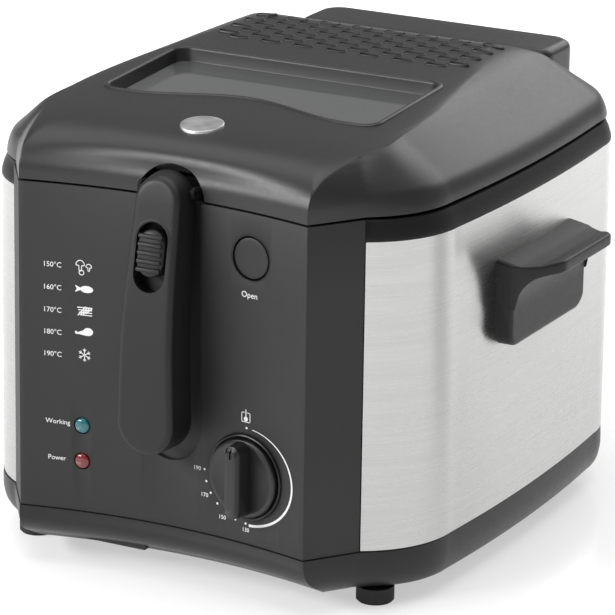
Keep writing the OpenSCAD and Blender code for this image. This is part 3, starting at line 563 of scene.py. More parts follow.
def make_finishes():
    c = colours()
    moulded("shell plastic", c.shell, 0.38, 2300.0, 0.00005)
    moulded("panel plastic", tint(c.shell, 1.0), 0.56, 2600.0, 0.00004)
    moulded("grip plastic", tint(c.grip, 0.72), 0.46, 2400.0, 0.00003, ior=1.42)
    moulded("base plastic", tint(c.shell, 0.75), 0.4, 2300.0, 0.00005, ior=1.42)
    moulded("trim plastic", c.trim, 0.36, 3000.0, 0.00002)
    moulded("inner plastic", c.trim, 0.55, 1800.0, 0.00005)
    moulded("deep plastic", c.trim, 0.6, 1800.0, 0.00005, ior=1.22)
    moulded("rim plastic", c.trim, 0.5, 2300.0, 0.00005, ior=1.3)
    moulded("rubber", (0.012, 0.012, 0.012), 0.7, 1200.0, 0.00008)
    moulded("seal silicone", (0.06, 0.06, 0.062), 0.55, 900.0, 0.00004)
    moulded("terminal plastic", (0.6, 0.6, 0.56), 0.45, 900.0, 0.00005)
    moulded("board", (0.04, 0.13, 0.06), 0.5, 500.0, 0.00005)
    moulded("print", c.marks, 0.5, 900.0, 0.00001, 0.04)
    brushed("brushed steel", c.steel, 0.27, 2600.0, 0.00001)
    brushed("pot steel", (0.55, 0.55, 0.54), 0.3, 900.0, 0.00001, 0.3)
    metal("fastener steel", (0.42, 0.42, 0.42), 0.32)
    metal("element tube", (0.09, 0.085, 0.08), 0.55, 90.0, 0.0001)
    metal("badge metal", (0.66, 0.66, 0.67), 0.36, 30.0, 0.00001)
    metal("basket chrome", (0.6, 0.6, 0.6), 0.16, 45.0, 0.00001)
    lens("teal lens", c.working)
    lens("red lens", c.power)
    cloth("filter fleece", (0.22, 0.22, 0.21))
    glass = Nodes("window glass")
    glass.ramp(glass.noise(7.0, detail=2.0), (0.07, 0.071, 0.072), (0.085, 0.086, 0.087), "Base Color")
    glass.ramp(glass.noise(25.0, detail=2.0), 0.03, 0.06, "Roughness")
    glass.bump(glass.noise(14.0, detail=1.0), 0.02, 0.0004)
    glass.set(IOR=1.62)


CAD_FINISH = {
    "rubber": ("feet", "cord_inlet"),
    "seal silicone": ("lid_seal",),
    "pot steel": ("heat_shield", "shield_posts", "lid_liner", "liner_skirt"),
    "inner plastic": ("pot_posts", "button_guide", "latch_guide", "filter_tray",
                      "lid_catch", "latch_hook"),
    "shell plastic": ("hinge_lugs", "lid_knuckles"),
    "element tube": ("heating_element", "thermostat", "thermal_cutout"),
    "terminal plastic": ("terminal_block",),
    "board": ("lamp_board",),
    "deep plastic": ("grip_bracket",),
    "fastener steel": ("hinge_pin", "dial_shaft"),
    "filter fleece": ("lid_filter",),
}


def shade_frame():
    make_finishes()
    for finish, nodes in CAD_FINISH.items():
        for name in nodes:
            mesh = frame["nodes"][name].data
            mesh.materials.clear()
            mesh.materials.append(bpy.data.materials[finish])


# ---------------------------------------------------------------- geometry nodes
def node_tree(name, inputs):
    """A geometry tree with named inputs, and the input sockets' identifiers."""
    tree = bpy.data.node_groups.new(name, "GeometryNodeTree")
    face = tree.interface
    face.new_socket(name="Geometry", in_out="INPUT", socket_type="NodeSocketGeometry")
    ids = {}
    for label, kind, default in inputs:
        socket = face.new_socket(name=label, in_out="INPUT", socket_type="NodeSocket" + kind)
        if default is not None:
            socket.default_value = default
        ids[label] = socket.identifier
    face.new_socket(name="Geometry", in_out="OUTPUT", socket_type="NodeSocketGeometry")
    start = tree.nodes.new("NodeGroupInput")
    end = tree.nodes.new("NodeGroupOutput")
    return tree, ids, start, end


def tree_end(tree, start, end, source, out):
    """Ends a tree in Realize Instances and Set Material."""
    real = tree.nodes.new("GeometryNodeRealizeInstances")
    paint = tree.nodes.new("GeometryNodeSetMaterial")
    tree.links.new(source.outputs[out], real.inputs["Geometry"])
    tree.links.new(real.outputs["Geometry"], paint.inputs["Geometry"])
    tree.links.new(start.outputs["Material"], paint.inputs["Material"])
    tree.links.new(paint.outputs["Geometry"], end.inputs["Geometry"])


def repeat_tree():
    """Puts a copy of one shape on every point, turned by the point's own angles."""
    tree, ids, start, end = node_tree("repeat on points", [
        ("Shape", "Object", None), ("Size", "Float", 1.0), ("Material", "Material", None)])
    info = tree.nodes.new("GeometryNodeObjectInfo")
    put = tree.nodes.new("GeometryNodeInstanceOnPoints")
    turn = tree.nodes.new("GeometryNodeInputNamedAttribute")
    turn.data_type = "FLOAT_VECTOR"
    turn.inputs["Name"].default_value = "turn"
    tree.links.new(start.outputs["Shape"], info.inputs["Object"])
    tree.links.new(info.outputs["Geometry"], put.inputs["Instance"])
    tree.links.new(start.outputs["Geometry"], put.inputs["Points"])
    tree.links.new(turn.outputs["Attribute"], put.inputs["Rotation"])
    tree.links.new(start.outputs["Size"], put.inputs["Scale"])
    tree_end(tree, start, end, put, "Instances")
    return tree, ids


def wire_tree():
    """Runs a round wire along every edge."""
    tree, ids, start, end = node_tree("wire along edges", [
        ("Radius", "Float", 0.001), ("Sides", "Int", 8), ("Material", "Material", None)])
    curve = tree.nodes.new("GeometryNodeMeshToCurve")
    circle = tree.nodes.new("GeometryNodeCurvePrimitiveCircle")
    skin = tree.nodes.new("GeometryNodeCurveToMesh")
    skin.inputs["Fill Caps"].default_value = True
    tree.links.new(start.outputs["Geometry"], curve.inputs["Mesh"])
    tree.links.new(start.outputs["Radius"], circle.inputs["Radius"])
    tree.links.new(start.outputs["Sides"], circle.inputs["Resolution"])
    tree.links.new(curve.outputs["Curve"], skin.inputs["Curve"])
    tree.links.new(circle.outputs["Curve"], skin.inputs["Profile Curve"])
    tree_end(tree, start, end, skin, "Mesh")
    return tree, ids


def grown(name, mesh, tree, ids, values):
    """Runs a tree on a mesh of points or edges, and keeps the result as a plain mesh."""
    base = bpy.data.objects.new(name + " points", mesh)
    bpy.context.scene.collection.objects.link(base)
    grow = base.modifiers.new("grow", "NODES")
    grow.node_group = tree
    for label, value in values.items():
        grow[ids[label]] = value
    graph = bpy.context.evaluated_depsgraph_get()
    made = bpy.data.meshes.new_from_object(base.evaluated_get(graph))
    bpy.data.objects.remove(base)
    if not made.polygons:
        raise RuntimeError(f"{name}: the tree made nothing")
    obj = bpy.data.objects.new(name, made)
    bpy.context.scene.collection.objects.link(obj)
    return obj


def repeated(name, shape, spots, material):
    """Copies of a small shape at (point, (x, y, z) angles); the shape is used up."""
    tree, ids = repeat_tree()
    mesh = bpy.data.meshes.new(name)
    mesh.from_pydata([place(p) for p, _ in spots], [], [])
    turn = mesh.attributes.new("turn", "FLOAT_VECTOR", "POINT")
    for i, (_, angles) in enumerate(spots):
        turn.data[i].vector = angles
    obj = grown(name, mesh, tree, ids, {"Shape": shape, "Size": 1.0, "Material": bpy.data.materials[material]})
    bpy.data.objects.remove(shape)
    if "turn" in obj.data.attributes:
        obj.data.attributes.remove(obj.data.attributes["turn"])
    return obj


def local_shape(name, build):
    """A small shape about its own origin, drawn in millimetres."""
    bm = bmesh.new()
    build(bm)
    finished(bm)
    bmesh.ops.translate(bm, verts=bm.verts, vec=(0, SETBACK / 1000, 0))
    mesh = bpy.data.meshes.new(name)
    bm.to_mesh(mesh)
    bm.free()
    obj = bpy.data.objects.new(name, mesh)
    bpy.context.scene.collection.objects.link(obj)
    mesh.shade_smooth()
    mesh.set_sharp_from_angle(angle=math.radians(30))
    return obj


# ---------------------------------------------------------------- lid surface
# Depth of the lid front behind its lower edge against height, and how far the
# sides and cheeks draw in against height.
FRONT_ROLL = Track([(0, 0), (4, 0.02), (6, 0.2), (8, 0.62), (10, 1.3), (12, 2.2), (14, 3.4),
                    (16.6, 5.4), (20.3, 9.5), (23.3, 14.8), (27, 25), (29.6, 40), (31.3, 60),
                    (32.6, 82), (34.8, 120), (36.4, 160), (38, 200), (38.4, 222)])
SIDE_ROLL = Track([(0, 0), (1, 0.1), (5, 1.3), (9, 3.4), (11, 5.0), (14, 9.0), (17.5, 14.2),
                   (23, 22.3), (28, 29.8), (31, 34.6), (33.5, 39.4), (35.5, 44.6), (37, 50),
                   (38.4, 58), (41, 64)])
CHEEK_ROLL = Track([(0, 0), (6, 0.1), (12, 0.9), (16.6, 2.0), (20.3, 3.7), (23.3, 5.6), (27, 9),
                    (29.6, 16), (31.3, 26), (32.6, 36), (35, 44), (41, 50)])
ROLL_HEIGHT = Track([(FRONT_ROLL(h), h) for h in
                     (4, 8, 12, 16.6, 20.3, 23.3, 27, 29.6, 31.3, 32.6, 34.8, 36.4, 38, 38.4)])
SIDE_HEIGHT = Track([(SIDE_ROLL(h), h) for h in (0, 5, 11, 17.5, 23, 28, 31, 33.5, 35.5, 38.4, 41)])
LID_SIDE = 3.8            # how far the lid's lower edge lies inside the body's side
LID_REAR = 303.0          # where its rear flank would meet the body's line


def lid_height(x, y):
    """Height of the lid surface at a place well behind its front roll."""
    inset = min(side_x(min(y, BACK_Y - REAR_R), LID_SIDE) - abs(x), LID_REAR - LID_SIDE - y)
    return LID_Z + min(ROLL_HEIGHT(y), SIDE_HEIGHT(max(0.0, inset)))


REAR_LIMIT = 287.5        # flat rear face in front of the hinge
# How much of the front corner is blended away against height.
CORNER_BLEND = Track([(0, 0.3), (10, 0.5), (16, 1.5), (20, 3.5), (24, 8), (27, 15), (30, 28),
                      (33, 42), (39, 60)])


def resampled(path, count):
    """The same open path with its ends kept and `count` even steps between them."""
    pts = [Vector(p) for p in path]
    run = [0.0]
    for a, b in zip(pts, pts[1:]):
        run.append(run[-1] + (b - a).length)
    out, k = [], 0
    for i in range(count + 1):
        d = run[-1] * i / count
        while k < len(pts) - 2 and run[k + 1] < d:
            k += 1
        t = (d - run[k]) / max(1e-9, run[k + 1] - run[k])
        out.append(tuple(pts[k].lerp(pts[k + 1], min(1.0, max(0.0, t)))))
    return out


def trimmed(path, length):
    """The path without its first `length` millimetres."""
    pts = [Vector(p) for p in path]
    left = length
    for i in range(len(pts) - 1):
        step = (pts[i + 1] - pts[i]).length
        if left < step:
            return [tuple(pts[i].lerp(pts[i + 1], left / step))] + [tuple(p) for p in pts[i + 1:]]
        left -= step
    return [tuple(pts[-2]), tuple(pts[-1])]


def lid_section(h, wall):
    """Outline of the lid at a height above its lower edge: the rolled front, the
    blended front corners, the sides and the rear, each with a fixed count of points."""
    k = max(0.0, h)
    fade = 1 - ease((k - 10) / 22)
    depth = FRONT_ROLL(k) + wall * 1.1

    def front(x):
        return depth + panel_y(x) * fade
    plan = half_ring(0, min(49.0, CHEEK_ROLL(k) + wall), LID_SIDE + SIDE_ROLL(k) + wall,
                     open_front=True, rear=LID_REAR, shift=0.13 * SIDE_ROLL(k))[2:]
    rear = REAR_LIMIT - wall
    start = next(i for i in range(1, len(plan)) if plan[i][1] > front(plan[i][0]))
    a, b = plan[start - 1], plan[start]
    for _ in range(30):
        m = ((a[0] + b[0]) / 2, (a[1] + b[1]) / 2)
        if m[1] > front(m[0]):
            b = m
        else:
            a = m
    corner = b
    side = [corner] + [p for p in plan[start:] if math.dist(p, corner) > 0.01]
    cut = []
    for p, q in zip(side, side[1:]):
        cut.append(p)
        if q[1] >= rear:
            t = (rear - p[1]) / max(1e-9, q[1] - p[1])
            cut.append((p[0] + (q[0] - p[0]) * t, rear))
            break
        if q[1] - p[1] < 1e-6 and q[0] < p[0]:
            break
    side = cut
    length = sum(math.dist(p, q) for p, q in zip(side, side[1:]))
    blend = min(CORNER_BLEND(k), 0.45 * corner[0], 0.45 * length)
    x1 = corner[0] - blend
    side = trimmed(side, blend)
    lead = [(x, front(x)) for x in spread(0, x1, 40)]
    p0, p2 = lead[-1], side[0]
    turn = [((1 - t) ** 2 * p0[0] + 2 * t * (1 - t) * corner[0] + t * t * p2[0],
             (1 - t) ** 2 * p0[1] + 2 * t * (1 - t) * corner[1] + t * t * p2[1]) for t in spread(0, 1, 18)]
    tail = [(side[-1][0] * (1 - i / 12), side[-1][1]) for i in range(1, 13)]
    return whole(lead + turn[1:] + resampled(side, 100)[1:] + tail)


def lid_form(name, inset):
    """The rolled, dished and crowned body of the lid, drawn in all round by `inset`."""
    heights = spread(0, 7, 3) + spread(7.8, 27, 28)
    heights += [ROLL_HEIGHT(d) for d in spread(27, 222, 64)]
    rows = [(-4.0, -4.0)] if inset else []
    rows += [(h, h - inset) for h in (heights[1:] if inset else heights)]
    return scratch(name, lambda bm: loft(
        bm, [[(x, y, LID_Z + z) for x, y in lid_section(h, inset)] for h, z in rows]))


WINDOW_HW = 80.6
WINDOW_Y0 = 76.4
WINDOW_Y1 = 160.5
WINDOW_WAVE = 15.0


def window_loop(inset):
    """Window outline with its wavy front edge, set in all round."""
    hw, r = WINDOW_HW - inset, max(1.5, 9.0 - inset * 0.6)
    pts = []
    for x in spread(-(hw - r), hw - r, 44):
        wave = WINDOW_WAVE * math.cos(math.radians(min(90, abs(x) * 90 / (WINDOW_HW * 0.8)))) ** 2
        pts.append((x, WINDOW_Y0 + wave + inset))
    for cx, cy, a0 in ((hw - r, WINDOW_Y0 + inset + r, -90), (hw - r, WINDOW_Y1 - inset - r, 0),
                       (-hw + r, WINDOW_Y1 - inset - r, 90), (-hw + r, WINDOW_Y0 + inset + r, 180)):
        for i in range(0, 9):
            a = math.radians(a0 + 90 * i / 8)
            p = (cx + r * math.cos(a), cy + r * math.sin(a))
            if math.dist(p, pts[-1]) > 0.05 and math.dist(p, pts[0]) > 0.05:
                pts.append(p)
        if a0 == 0:
            pts += [(x, WINDOW_Y1 - inset) for x in spread(hw - r, -(hw - r), 30)[1:-1]]
    return pts


def slot_spots():
    """Middles and lengths of the vent slots, in staggered rows."""
    long = 1000 * sizes().slot_length
    spots = []
    for row in range(sizes().slot_rows):
        y = 190 + 7.3 * row
        if row % 2:
            spots += [(x, y, long) for x in (-70, -50, -30, -10, 10, 30, 50, 70)]
        else:
            spots += [(x, y, long) for x in (-60, -40, -20, 0, 20, 40, 60)]
    return spots


def oblong(length, width, inset, n=4):
    """Round-ended slot outline."""
    r = width / 2 - inset
    s = length / 2 - width / 2
    pts = []
    for cx, a0 in ((s, -90), (-s, 90)):
        for i in range(n + 1):
            a = math.radians(a0 + 180 * i / n)
            pts.append((cx + r * math.cos(a), r * math.sin(a)))
    return pts


class FRYER_OT_stage(bpy.types.Operator):
    """Makes the camera, the pale floor with a painted dark wedge in its glow, and the soft studio light"""
    bl_idname = "fryer.stage"
    bl_label = "Stage"

    def execute(self, context):
        scene = context.scene
        scene.view_settings.view_transform = "Standard"
        scene.view_settings.look = "None"
        psi, theta, roll = 0.4835839, 0.3060937, -0.01468636
        back = Vector((math.sin(psi) * math.cos(theta), -math.cos(psi) * math.cos(theta), math.sin(theta)))
        right = Vector((math.cos(psi), math.sin(psi), 0))
        up = back.cross(right)
        x_axis = right * math.cos(roll) - up * math.sin(roll)
        y_axis = right * math.sin(roll) + up * math.cos(roll)
        camera = bpy.data.objects.new("camera", bpy.data.cameras.new("camera"))
        camera.data.lens = 247.359
        camera.data.sensor_width = 36
        camera.data.clip_end = 50
        spot = Vector(place((1018.8, -1778.7, 803.5)))
        turn = Matrix((x_axis, y_axis, back)).transposed().to_4x4()
        camera.matrix_world = Matrix.Translation(spot) @ turn
        scene.collection.objects.link(camera)
        scene.camera = camera

        floor = bpy.data.objects.new("floor", bpy.data.meshes.new("floor"))
        bm = bmesh.new()
        bmesh.ops.create_grid(bm, x_segments=2, y_segments=2, size=9)
        bm.to_mesh(floor.data)
        bm.free()
        scene.collection.objects.link(floor)
        paper = Nodes("studio floor")
        paper.ramp(paper.noise(3.0), (0.61, 0.61, 0.61), (0.63, 0.63, 0.63), "Base Color")
        paper.ramp(paper.noise(8.0), 0.1, 0.14, "Roughness")
        far = paper.add("ShaderNodeVectorMath", operation="LENGTH")
        paper.link(paper.coords, "Object", far, 0)
        glow = paper.add("ShaderNodeMapRange", interpolation_type="SMOOTHSTEP")
        paper.link(far, "Value", glow, "Value")
        for key, value in (("From Min", 0.3), ("From Max", 1.2), ("To Min", 0.5), ("To Max", 1.0)):
            glow.inputs[key].default_value = value
        # Painted shade: beyond about 0.3-0.45 m, a wedge of the floor round 0.35 rad from +X glows only down to
        # 0.4 as strongly, a painted dark patch that the steel sides show as a painted dark reflection band.
        split = paper.add("ShaderNodeSeparateXYZ")
        paper.link(paper.coords, "Object", split, "Vector")
        turn = paper.add("ShaderNodeMath", operation="ARCTAN2")
        paper.link(split, "Y", turn, 0)
        paper.link(split, "X", turn, 1)
        off = paper.add("ShaderNodeMath", operation="SUBTRACT")
        paper.link(turn, "Value", off, 0)
        off.inputs[1].default_value = 0.35
        away = paper.add("ShaderNodeMath", operation="ABSOLUTE")
        paper.link(off, "Value", away, 0)
        painted_dark_wedge = paper.add("ShaderNodeMapRange", interpolation_type="SMOOTHSTEP")
        paper.link(away, "Value", painted_dark_wedge, "Value")
        for key, value in (("From Min", 0.06), ("From Max", 0.26), ("To Min", 0.4), ("To Max", 1.0)):
            painted_dark_wedge.inputs[key].default_value = value
        outside = paper.add("ShaderNodeMapRange", interpolation_type="SMOOTHSTEP")
        paper.link(far, "Value", outside, "Value")
        for key, value in (("From Min", 0.3), ("From Max", 0.45), ("To Min", 1.0), ("To Max", 0.0)):
            outside.inputs[key].default_value = value
        least = paper.add("ShaderNodeMath", operation="MAXIMUM")
        paper.link(outside, "Result", least, 0)
        paper.link(painted_dark_wedge, "Result", least, 1)
        dim = paper.add("ShaderNodeMath", operation="MULTIPLY")
        paper.link(glow, "Result", dim, 0)
        paper.link(least, "Value", dim, 1)
        paper.link(dim, "Value", paper.shader, "Emission Strength")
        paper.set(Emission_Color=(1, 1, 1, 1))
        floor.data.materials.append(paper.material)

        world = bpy.data.worlds.new("studio") if scene.world is None else scene.world
        scene.world = world
        world.use_nodes = True
        world.node_tree.nodes["Background"].inputs["Color"].default_value = (1, 1, 1, 1)
        world.node_tree.nodes["Background"].inputs["Strength"].default_value = 0.35
        lamps = (
            ("overhead", (0.0, -0.1, 1.75), (0, -0.05, 0.1), 2.0, 1.6, 22.0),
            ("front left", (-1.15, -1.3, 0.92), (0, 0, 0.2), 1.5, 0.36, 32.0),
            ("back right", (0.35, 1.75, 1.15), (0, 0, 0.2), 1.6, 0.9, 12.0),
        )
        for name, where, aim, wide, high, power in lamps:
            data = bpy.data.lights.new(name, "AREA")
            data.shape = "RECTANGLE"
            data.size, data.size_y, data.energy = wide, high, power
            lamp = bpy.data.objects.new(name, data)
            lamp.location = where
            lamp.rotation_euler = (Vector(aim) - Vector(where)).to_track_quat("-Z", "Y").to_euler()
            scene.collection.objects.link(lamp)
        return {"FINISHED"}


class FRYER_OT_finishes(bpy.types.Operator):
    """Makes every finish and gives the carried-over frame nodes theirs"""
    bl_idname = "fryer.finishes"
    bl_label = "Finishes"

    def execute(self, context):
        shade_frame()
        return {"FINISHED"}


CHANNEL_HW = 17.6
CHANNEL_Z = 69.5
CHANNEL_Y = 14.4
DIAL_AT = (46.7, 69.7)
BUTTON_AT = (48.5, 186.6)
WORKING_AT = (-50.4, 80.5)
POWER_AT = (-50.4, 61.0)


def panel_loop(front, cheek):
    """The panel and its cheeks from left to right."""
    half = half_ring(front, cheek, cheek)[:CHEEK_COUNT]
    half[-1] = tuple(Vector(half[-1]) - (Vector(half[-1]) - Vector(half[-2])).normalized() * 1.6)
    return [(-x, y) for x, y in reversed(half) if x > EVEN] + half


def channel_loop(hw, bottom, top, n=24):
    """Round-bottomed channel as (x, z)."""
    pts = [(-hw, top)]
    pts += [(hw * math.cos(a), bottom + hw + hw * math.sin(a)) for a in
            [math.pi + math.pi * i / n for i in range(n + 1)]]
    pts.append((hw, top))
    return pts


class FRYER_OT_panel(bpy.types.Operator):
    """Builds the dished control panel with its cheeks, handle channel and openings"""
    bl_idname = "fryer.panel"
    bl_label = "Control panel"

    def execute(self, context):
        wall = 1000 * sizes().wall

        def shell(bm):
            loop = panel_loop(0, 0) + list(reversed(panel_loop(wall, wall)))
            loft(bm, [[(x, y, z) for x, y in loop] for z in (STEEL_Z0, STEEL_Z0 + 60, RIM_Z - 40, RIM_Z)])
        panel = scratch("control_panel", shell)
        back = channel_loop(CHANNEL_HW + wall, CHANNEL_Z - wall, RIM_Z - 0.01)
        combine(panel, scratch("backing", lambda bm: loft(
            bm, [[(x, y, z) for x, z in back] for y in (12.0, CHANNEL_Y + wall)])), "UNION")
        well = channel_loop(CHANNEL_HW, CHANNEL_Z, RIM_Z + 5)
        combine(panel, scratch("channel", lambda bm: loft(
            bm, [[(x, y, z) for x, z in well] for y in (-20.0, CHANNEL_Y)])), "DIFFERENCE")
        for at, radius, low in ((BUTTON_AT, 12.45, -10), (WORKING_AT, 4.65, -10), (POWER_AT, 4.65, -10),
                                (DIAL_AT, 5.0, -10), (DIAL_AT, 23.06, 0)):
            hole = scratch("opening", lambda bm: drum(bm, radius, low, 20, on_panel(*at), 72))
            combine(panel, hole, "DIFFERENCE")
        soften(panel, sizes().edge_round, 40, 2)
        piece(panel, "panel plastic", "housing", ["front_fascia"])
        return {"FINISHED"}


def wrap_loop(inset, start=-0.9):
    """The steel's outline from one cheek round the back to the other."""
    r = CORNER_R - inset

    def on_corner(a):
        return (CORNER + r * math.cos(a), CORNER + r * math.sin(a))
    cheek_end = half_ring(0, 0, 0)[CHEEK_COUNT - 1]
    a = math.atan2(cheek_end[1] - CORNER, cheek_end[0] - CORNER)
    bend = [on_corner(a * (1 - (i + 1) / BEND_COUNT)) for i in range(BEND_COUNT)]
    return [on_corner(a + start / CORNER_R)] + bend + half_ring(0, 0, inset)[CHEEK_COUNT + BEND_COUNT:]


class FRYER_OT_steel(bpy.types.Operator):
    """Builds the brushed steel that wraps the corners, sides and back"""
    bl_idname = "fryer.steel"
    bl_label = "Steel sides"

    def execute(self, context):
        def sheet(bm):
            loop = whole(wrap_loop(0.0)) + whole(wrap_loop(SHEET))[::-1]
            loft(bm, [[(x, y, z) for x, y in loop] for z in
                      (STEEL_Z0, STEEL_Z0 + 0.35, STEEL_Z1 - 0.35, STEEL_Z1)])
        steel = scratch("steel_sides", sheet)
        soften(steel, 0.0002, 50, 2)
        piece(steel, "brushed steel", "housing", ["steel_casing"], 40)
        return {"FINISHED"}


class FRYER_OT_rim(bpy.types.Operator):
    """Builds the black band above the steel with its ledge round the pot"""
    bl_idname = "fryer.rim"
    bl_label = "Rim band"

    def execute(self, context):
        wall = 1000 * sizes().wall + 0.3

        def band(bm):
            top = RIM_Z - 0.7
            rows = [(STEEL_Z1, wall, 0.1), (STEEL_Z1 + 0.5, wall, -0.1), (STEEL_Z1 + 2, wall, 0.1),
                    (STEEL_Z1 + 6, wall, 1.3), (top - 1.4, wall, 2.9), (top - 0.4, wall, 3.5),
                    (top, wall, 4.5), (top, wall + 3, 7.5), (top - 0.6, wall + 3.6, 8.0),
                    (top - 4.2, wall + 3.8, 8.4)]
            rings = [[(x, y, z) for x, y in ring(f * 1.1, min(f, max(0.0, s) + f * (i > 6)), s)]
                     for i, (z, f, s) in enumerate(rows)]
            count = len(rings[0])
            opening = matched(rounded(POT_HW + 0.5, POT_Y0 - 0.5, POT_Y1 + 0.5, POT_R), count)
            rings.append([(x, y, POT_Z1 - 1.2) for x, y in opening])
            rings.append([(x, y, STEEL_Z1 + 1.5) for x, y in opening])
            rings.append([(x, y, STEEL_Z1 + 1.5) for x, y in ring(wall + 4, 4, 5)])
            rings.append([(x, y, STEEL_Z1) for x, y in ring(wall + 3.5, 3.6, 4.4)])
            loft(bm, rings, closed=True)
        rim = scratch("rim_band", band)
        combine(rim, scratch("mouth", lambda bm: block(bm, (-20.6, -5, STEEL_Z1 - 3), (20.6, 30, RIM_Z + 3))),
                "DIFFERENCE")
        piece(rim, "rim plastic", "housing", ["top_rim"], 34)
        return {"FINISHED"}


class FRYER_OT_base(bpy.types.Operator):
    """Builds the tucked-in base, with the sill under the rear housing"""
    bl_idname = "fryer.base"
    bl_label = "Base"

    def execute(self, context):
        def tray(bm):
            rows = [(STEEL_Z0 - 0.3, 0.6, 0.5, 0.5), (STEEL_Z0 - 0.6, -0.4, -0.5, 0.1), (30, -0.5, -0.7, -0.1),
                    (26, 0.2, -0.6, -0.2), (23, 1.4, -0.2, -0.2), (20, 3.6, 0.6, 0.1), (18, 5.8, 1.5, 0.5),
                    (16, 9.2, 2.8, 1.0), (14, 13.4, 4.6, 1.8), (12, 17.4, 7.0, 3.2), (10.4, 20, 9.6, 6),
                    (9.2, 21.6, 12.0, 9.5), (FOOT_Z, 23, 15, 13)]
            loft(bm, [[(x, y, z) for x, y in ring(front, cheek, side)] for z, front, cheek, side in rows])
        base = scratch("base", tray)
        sill = scratch("sill", lambda bm: loft(bm, [
            [(x, y, z) for x, y in rounded(BOX_HW - s, 280, BOX_Y1 - 1 - s, 12 - s)]
            for z, s in ((20.6, 4.0), (21.2, 2.5), (23, 0.6), (STEEL_Z0, 0.2))]))
        combine(base, sill, "UNION")
        low = [edge("terminal_block", 0, axis) + (0, SETBACK, 0)[axis] - 0.8 for axis in range(3)]
        high = [edge("terminal_block", 1, axis) + (0, SETBACK, 0)[axis] + 0.8 for axis in range(3)]
        combine(base, scratch("terminal pocket", lambda bm: block(bm, low, high)), "UNION")
        piece(base, "base plastic", "housing", ["base_tray", "rear_sill"], 34)
        return {"FINISHED"}


BOX_R = 12                # upright edges of the rear housing
INLET_AT = (-45, 62)


class FRYER_OT_rear_box(bpy.types.Operator):
    """Builds the housing behind the lid with its vent ribs"""
    bl_idname = "fryer.rear_box"
    bl_label = "Rear housing"

    def execute(self, context):
        def shell(bm):
            rows = [(STEEL_Z0, 0.0), (BOX_Z - 4.5, 0.0), (BOX_Z - 3.2, 0.3), (BOX_Z - 2.0, 0.9),
                    (BOX_Z - 1.0, 1.9), (BOX_Z - 0.3, 3.2), (BOX_Z, 4.8)]
            loft(bm, [[(x, y, z) for x, y in
                       rounded(BOX_HW - s, BOX_Y0 + s * 0.4, BOX_Y1 - s, BOX_R - s * 0.5)]
                      for z, s in rows])
        box = scratch("rear_box", shell)
        inlet = (Matrix.Translation((INLET_AT[0], BOX_Y1, INLET_AT[1]))
                 @ Matrix.Rotation(math.radians(-90), 4, "X"))
        combine(box, scratch("inlet", lambda bm: drum(bm, 7.05, -12, 20, inlet, 32)), "DIFFERENCE")
        piece(box, "shell plastic", "housing", ["rear_housing"], 30)
        rib = local_shape("rib", lambda bm: loft(bm, [
            [(x * k, y, z * (1 if k == 1 else 0.985)) for x, z in ((-1.2, -34), (1.2, -34), (1.2, 34), (-1.2, 34))]
            for y, k in ((-0.5, 1), (1.0, 1), (1.5, 0.55))]))
        spots = [((x, BOX_Y1, 160), (0, 0, 0)) for x in spread(-40, 40, 16)]
        ribs = repeated("rear_vent_ribs", rib, spots, "shell plastic")
        piece(ribs, "shell plastic", "housing")
        return {"FINISHED"}


class FRYER_OT_lid(bpy.types.Operator):
    """Builds the rolled lid with its window opening, arch, slots and hinge notches"""
    bl_idname = "fryer.lid"
    bl_label = "Lid"

    def execute(self, context):
        lid = lid_form("lid_top", 0.0)
        combine(lid, lid_form("lid hollow", 1000 * sizes().wall), "DIFFERENCE")
        combine(lid, scratch("window cut", lambda bm: loft(
            bm, [[(x, y, z) for x, y in window_loop(0)] for z in (LID_Z + 8, LID_TOP + 9)])), "DIFFERENCE")
        arch = [(19.6 * math.cos(a), RIM_Z + 17.6 * math.sin(a)) for a in
                [math.pi * i / 40 for i in range(41)]] + [(-19.6, RIM_Z - 6), (19.6, RIM_Z - 6)]
        combine(lid, scratch("arch cut", lambda bm: loft(
            bm, [[(x, y, z) for x, z in arch] for y in (-20, 33)])), "DIFFERENCE")

        def slots(bm):
            for x, y, long in slot_spots():
                loft(bm, [[(x + px, y + py, z) for px, py in oblong(long, 1000 * sizes().slot_width, 0)]
                          for z in (LID_Z + 12, LID_TOP + 6)])
        combine(lid, scratch("slots", slots), "DIFFERENCE")

        def notches(bm):
            for x in (-56, 56):
                block(bm, (x - 5, HINGE_Y - 7, HINGE_Z - 8), (x + 5, HINGE_Y + 12, HINGE_Z + 12))
        combine(lid, scratch("notches", notches), "DIFFERENCE")
        combine(lid, scratch("rear slot", lambda bm: block(
            bm, (-70, HINGE_Y - 4.5, LID_Z - 2), (70, HINGE_Y + 8, HINGE_Z - 2.2))), "DIFFERENCE")
        piece(lid, "shell plastic", "lid", ["lid_shell"], 14)
        return {"FINISHED"}


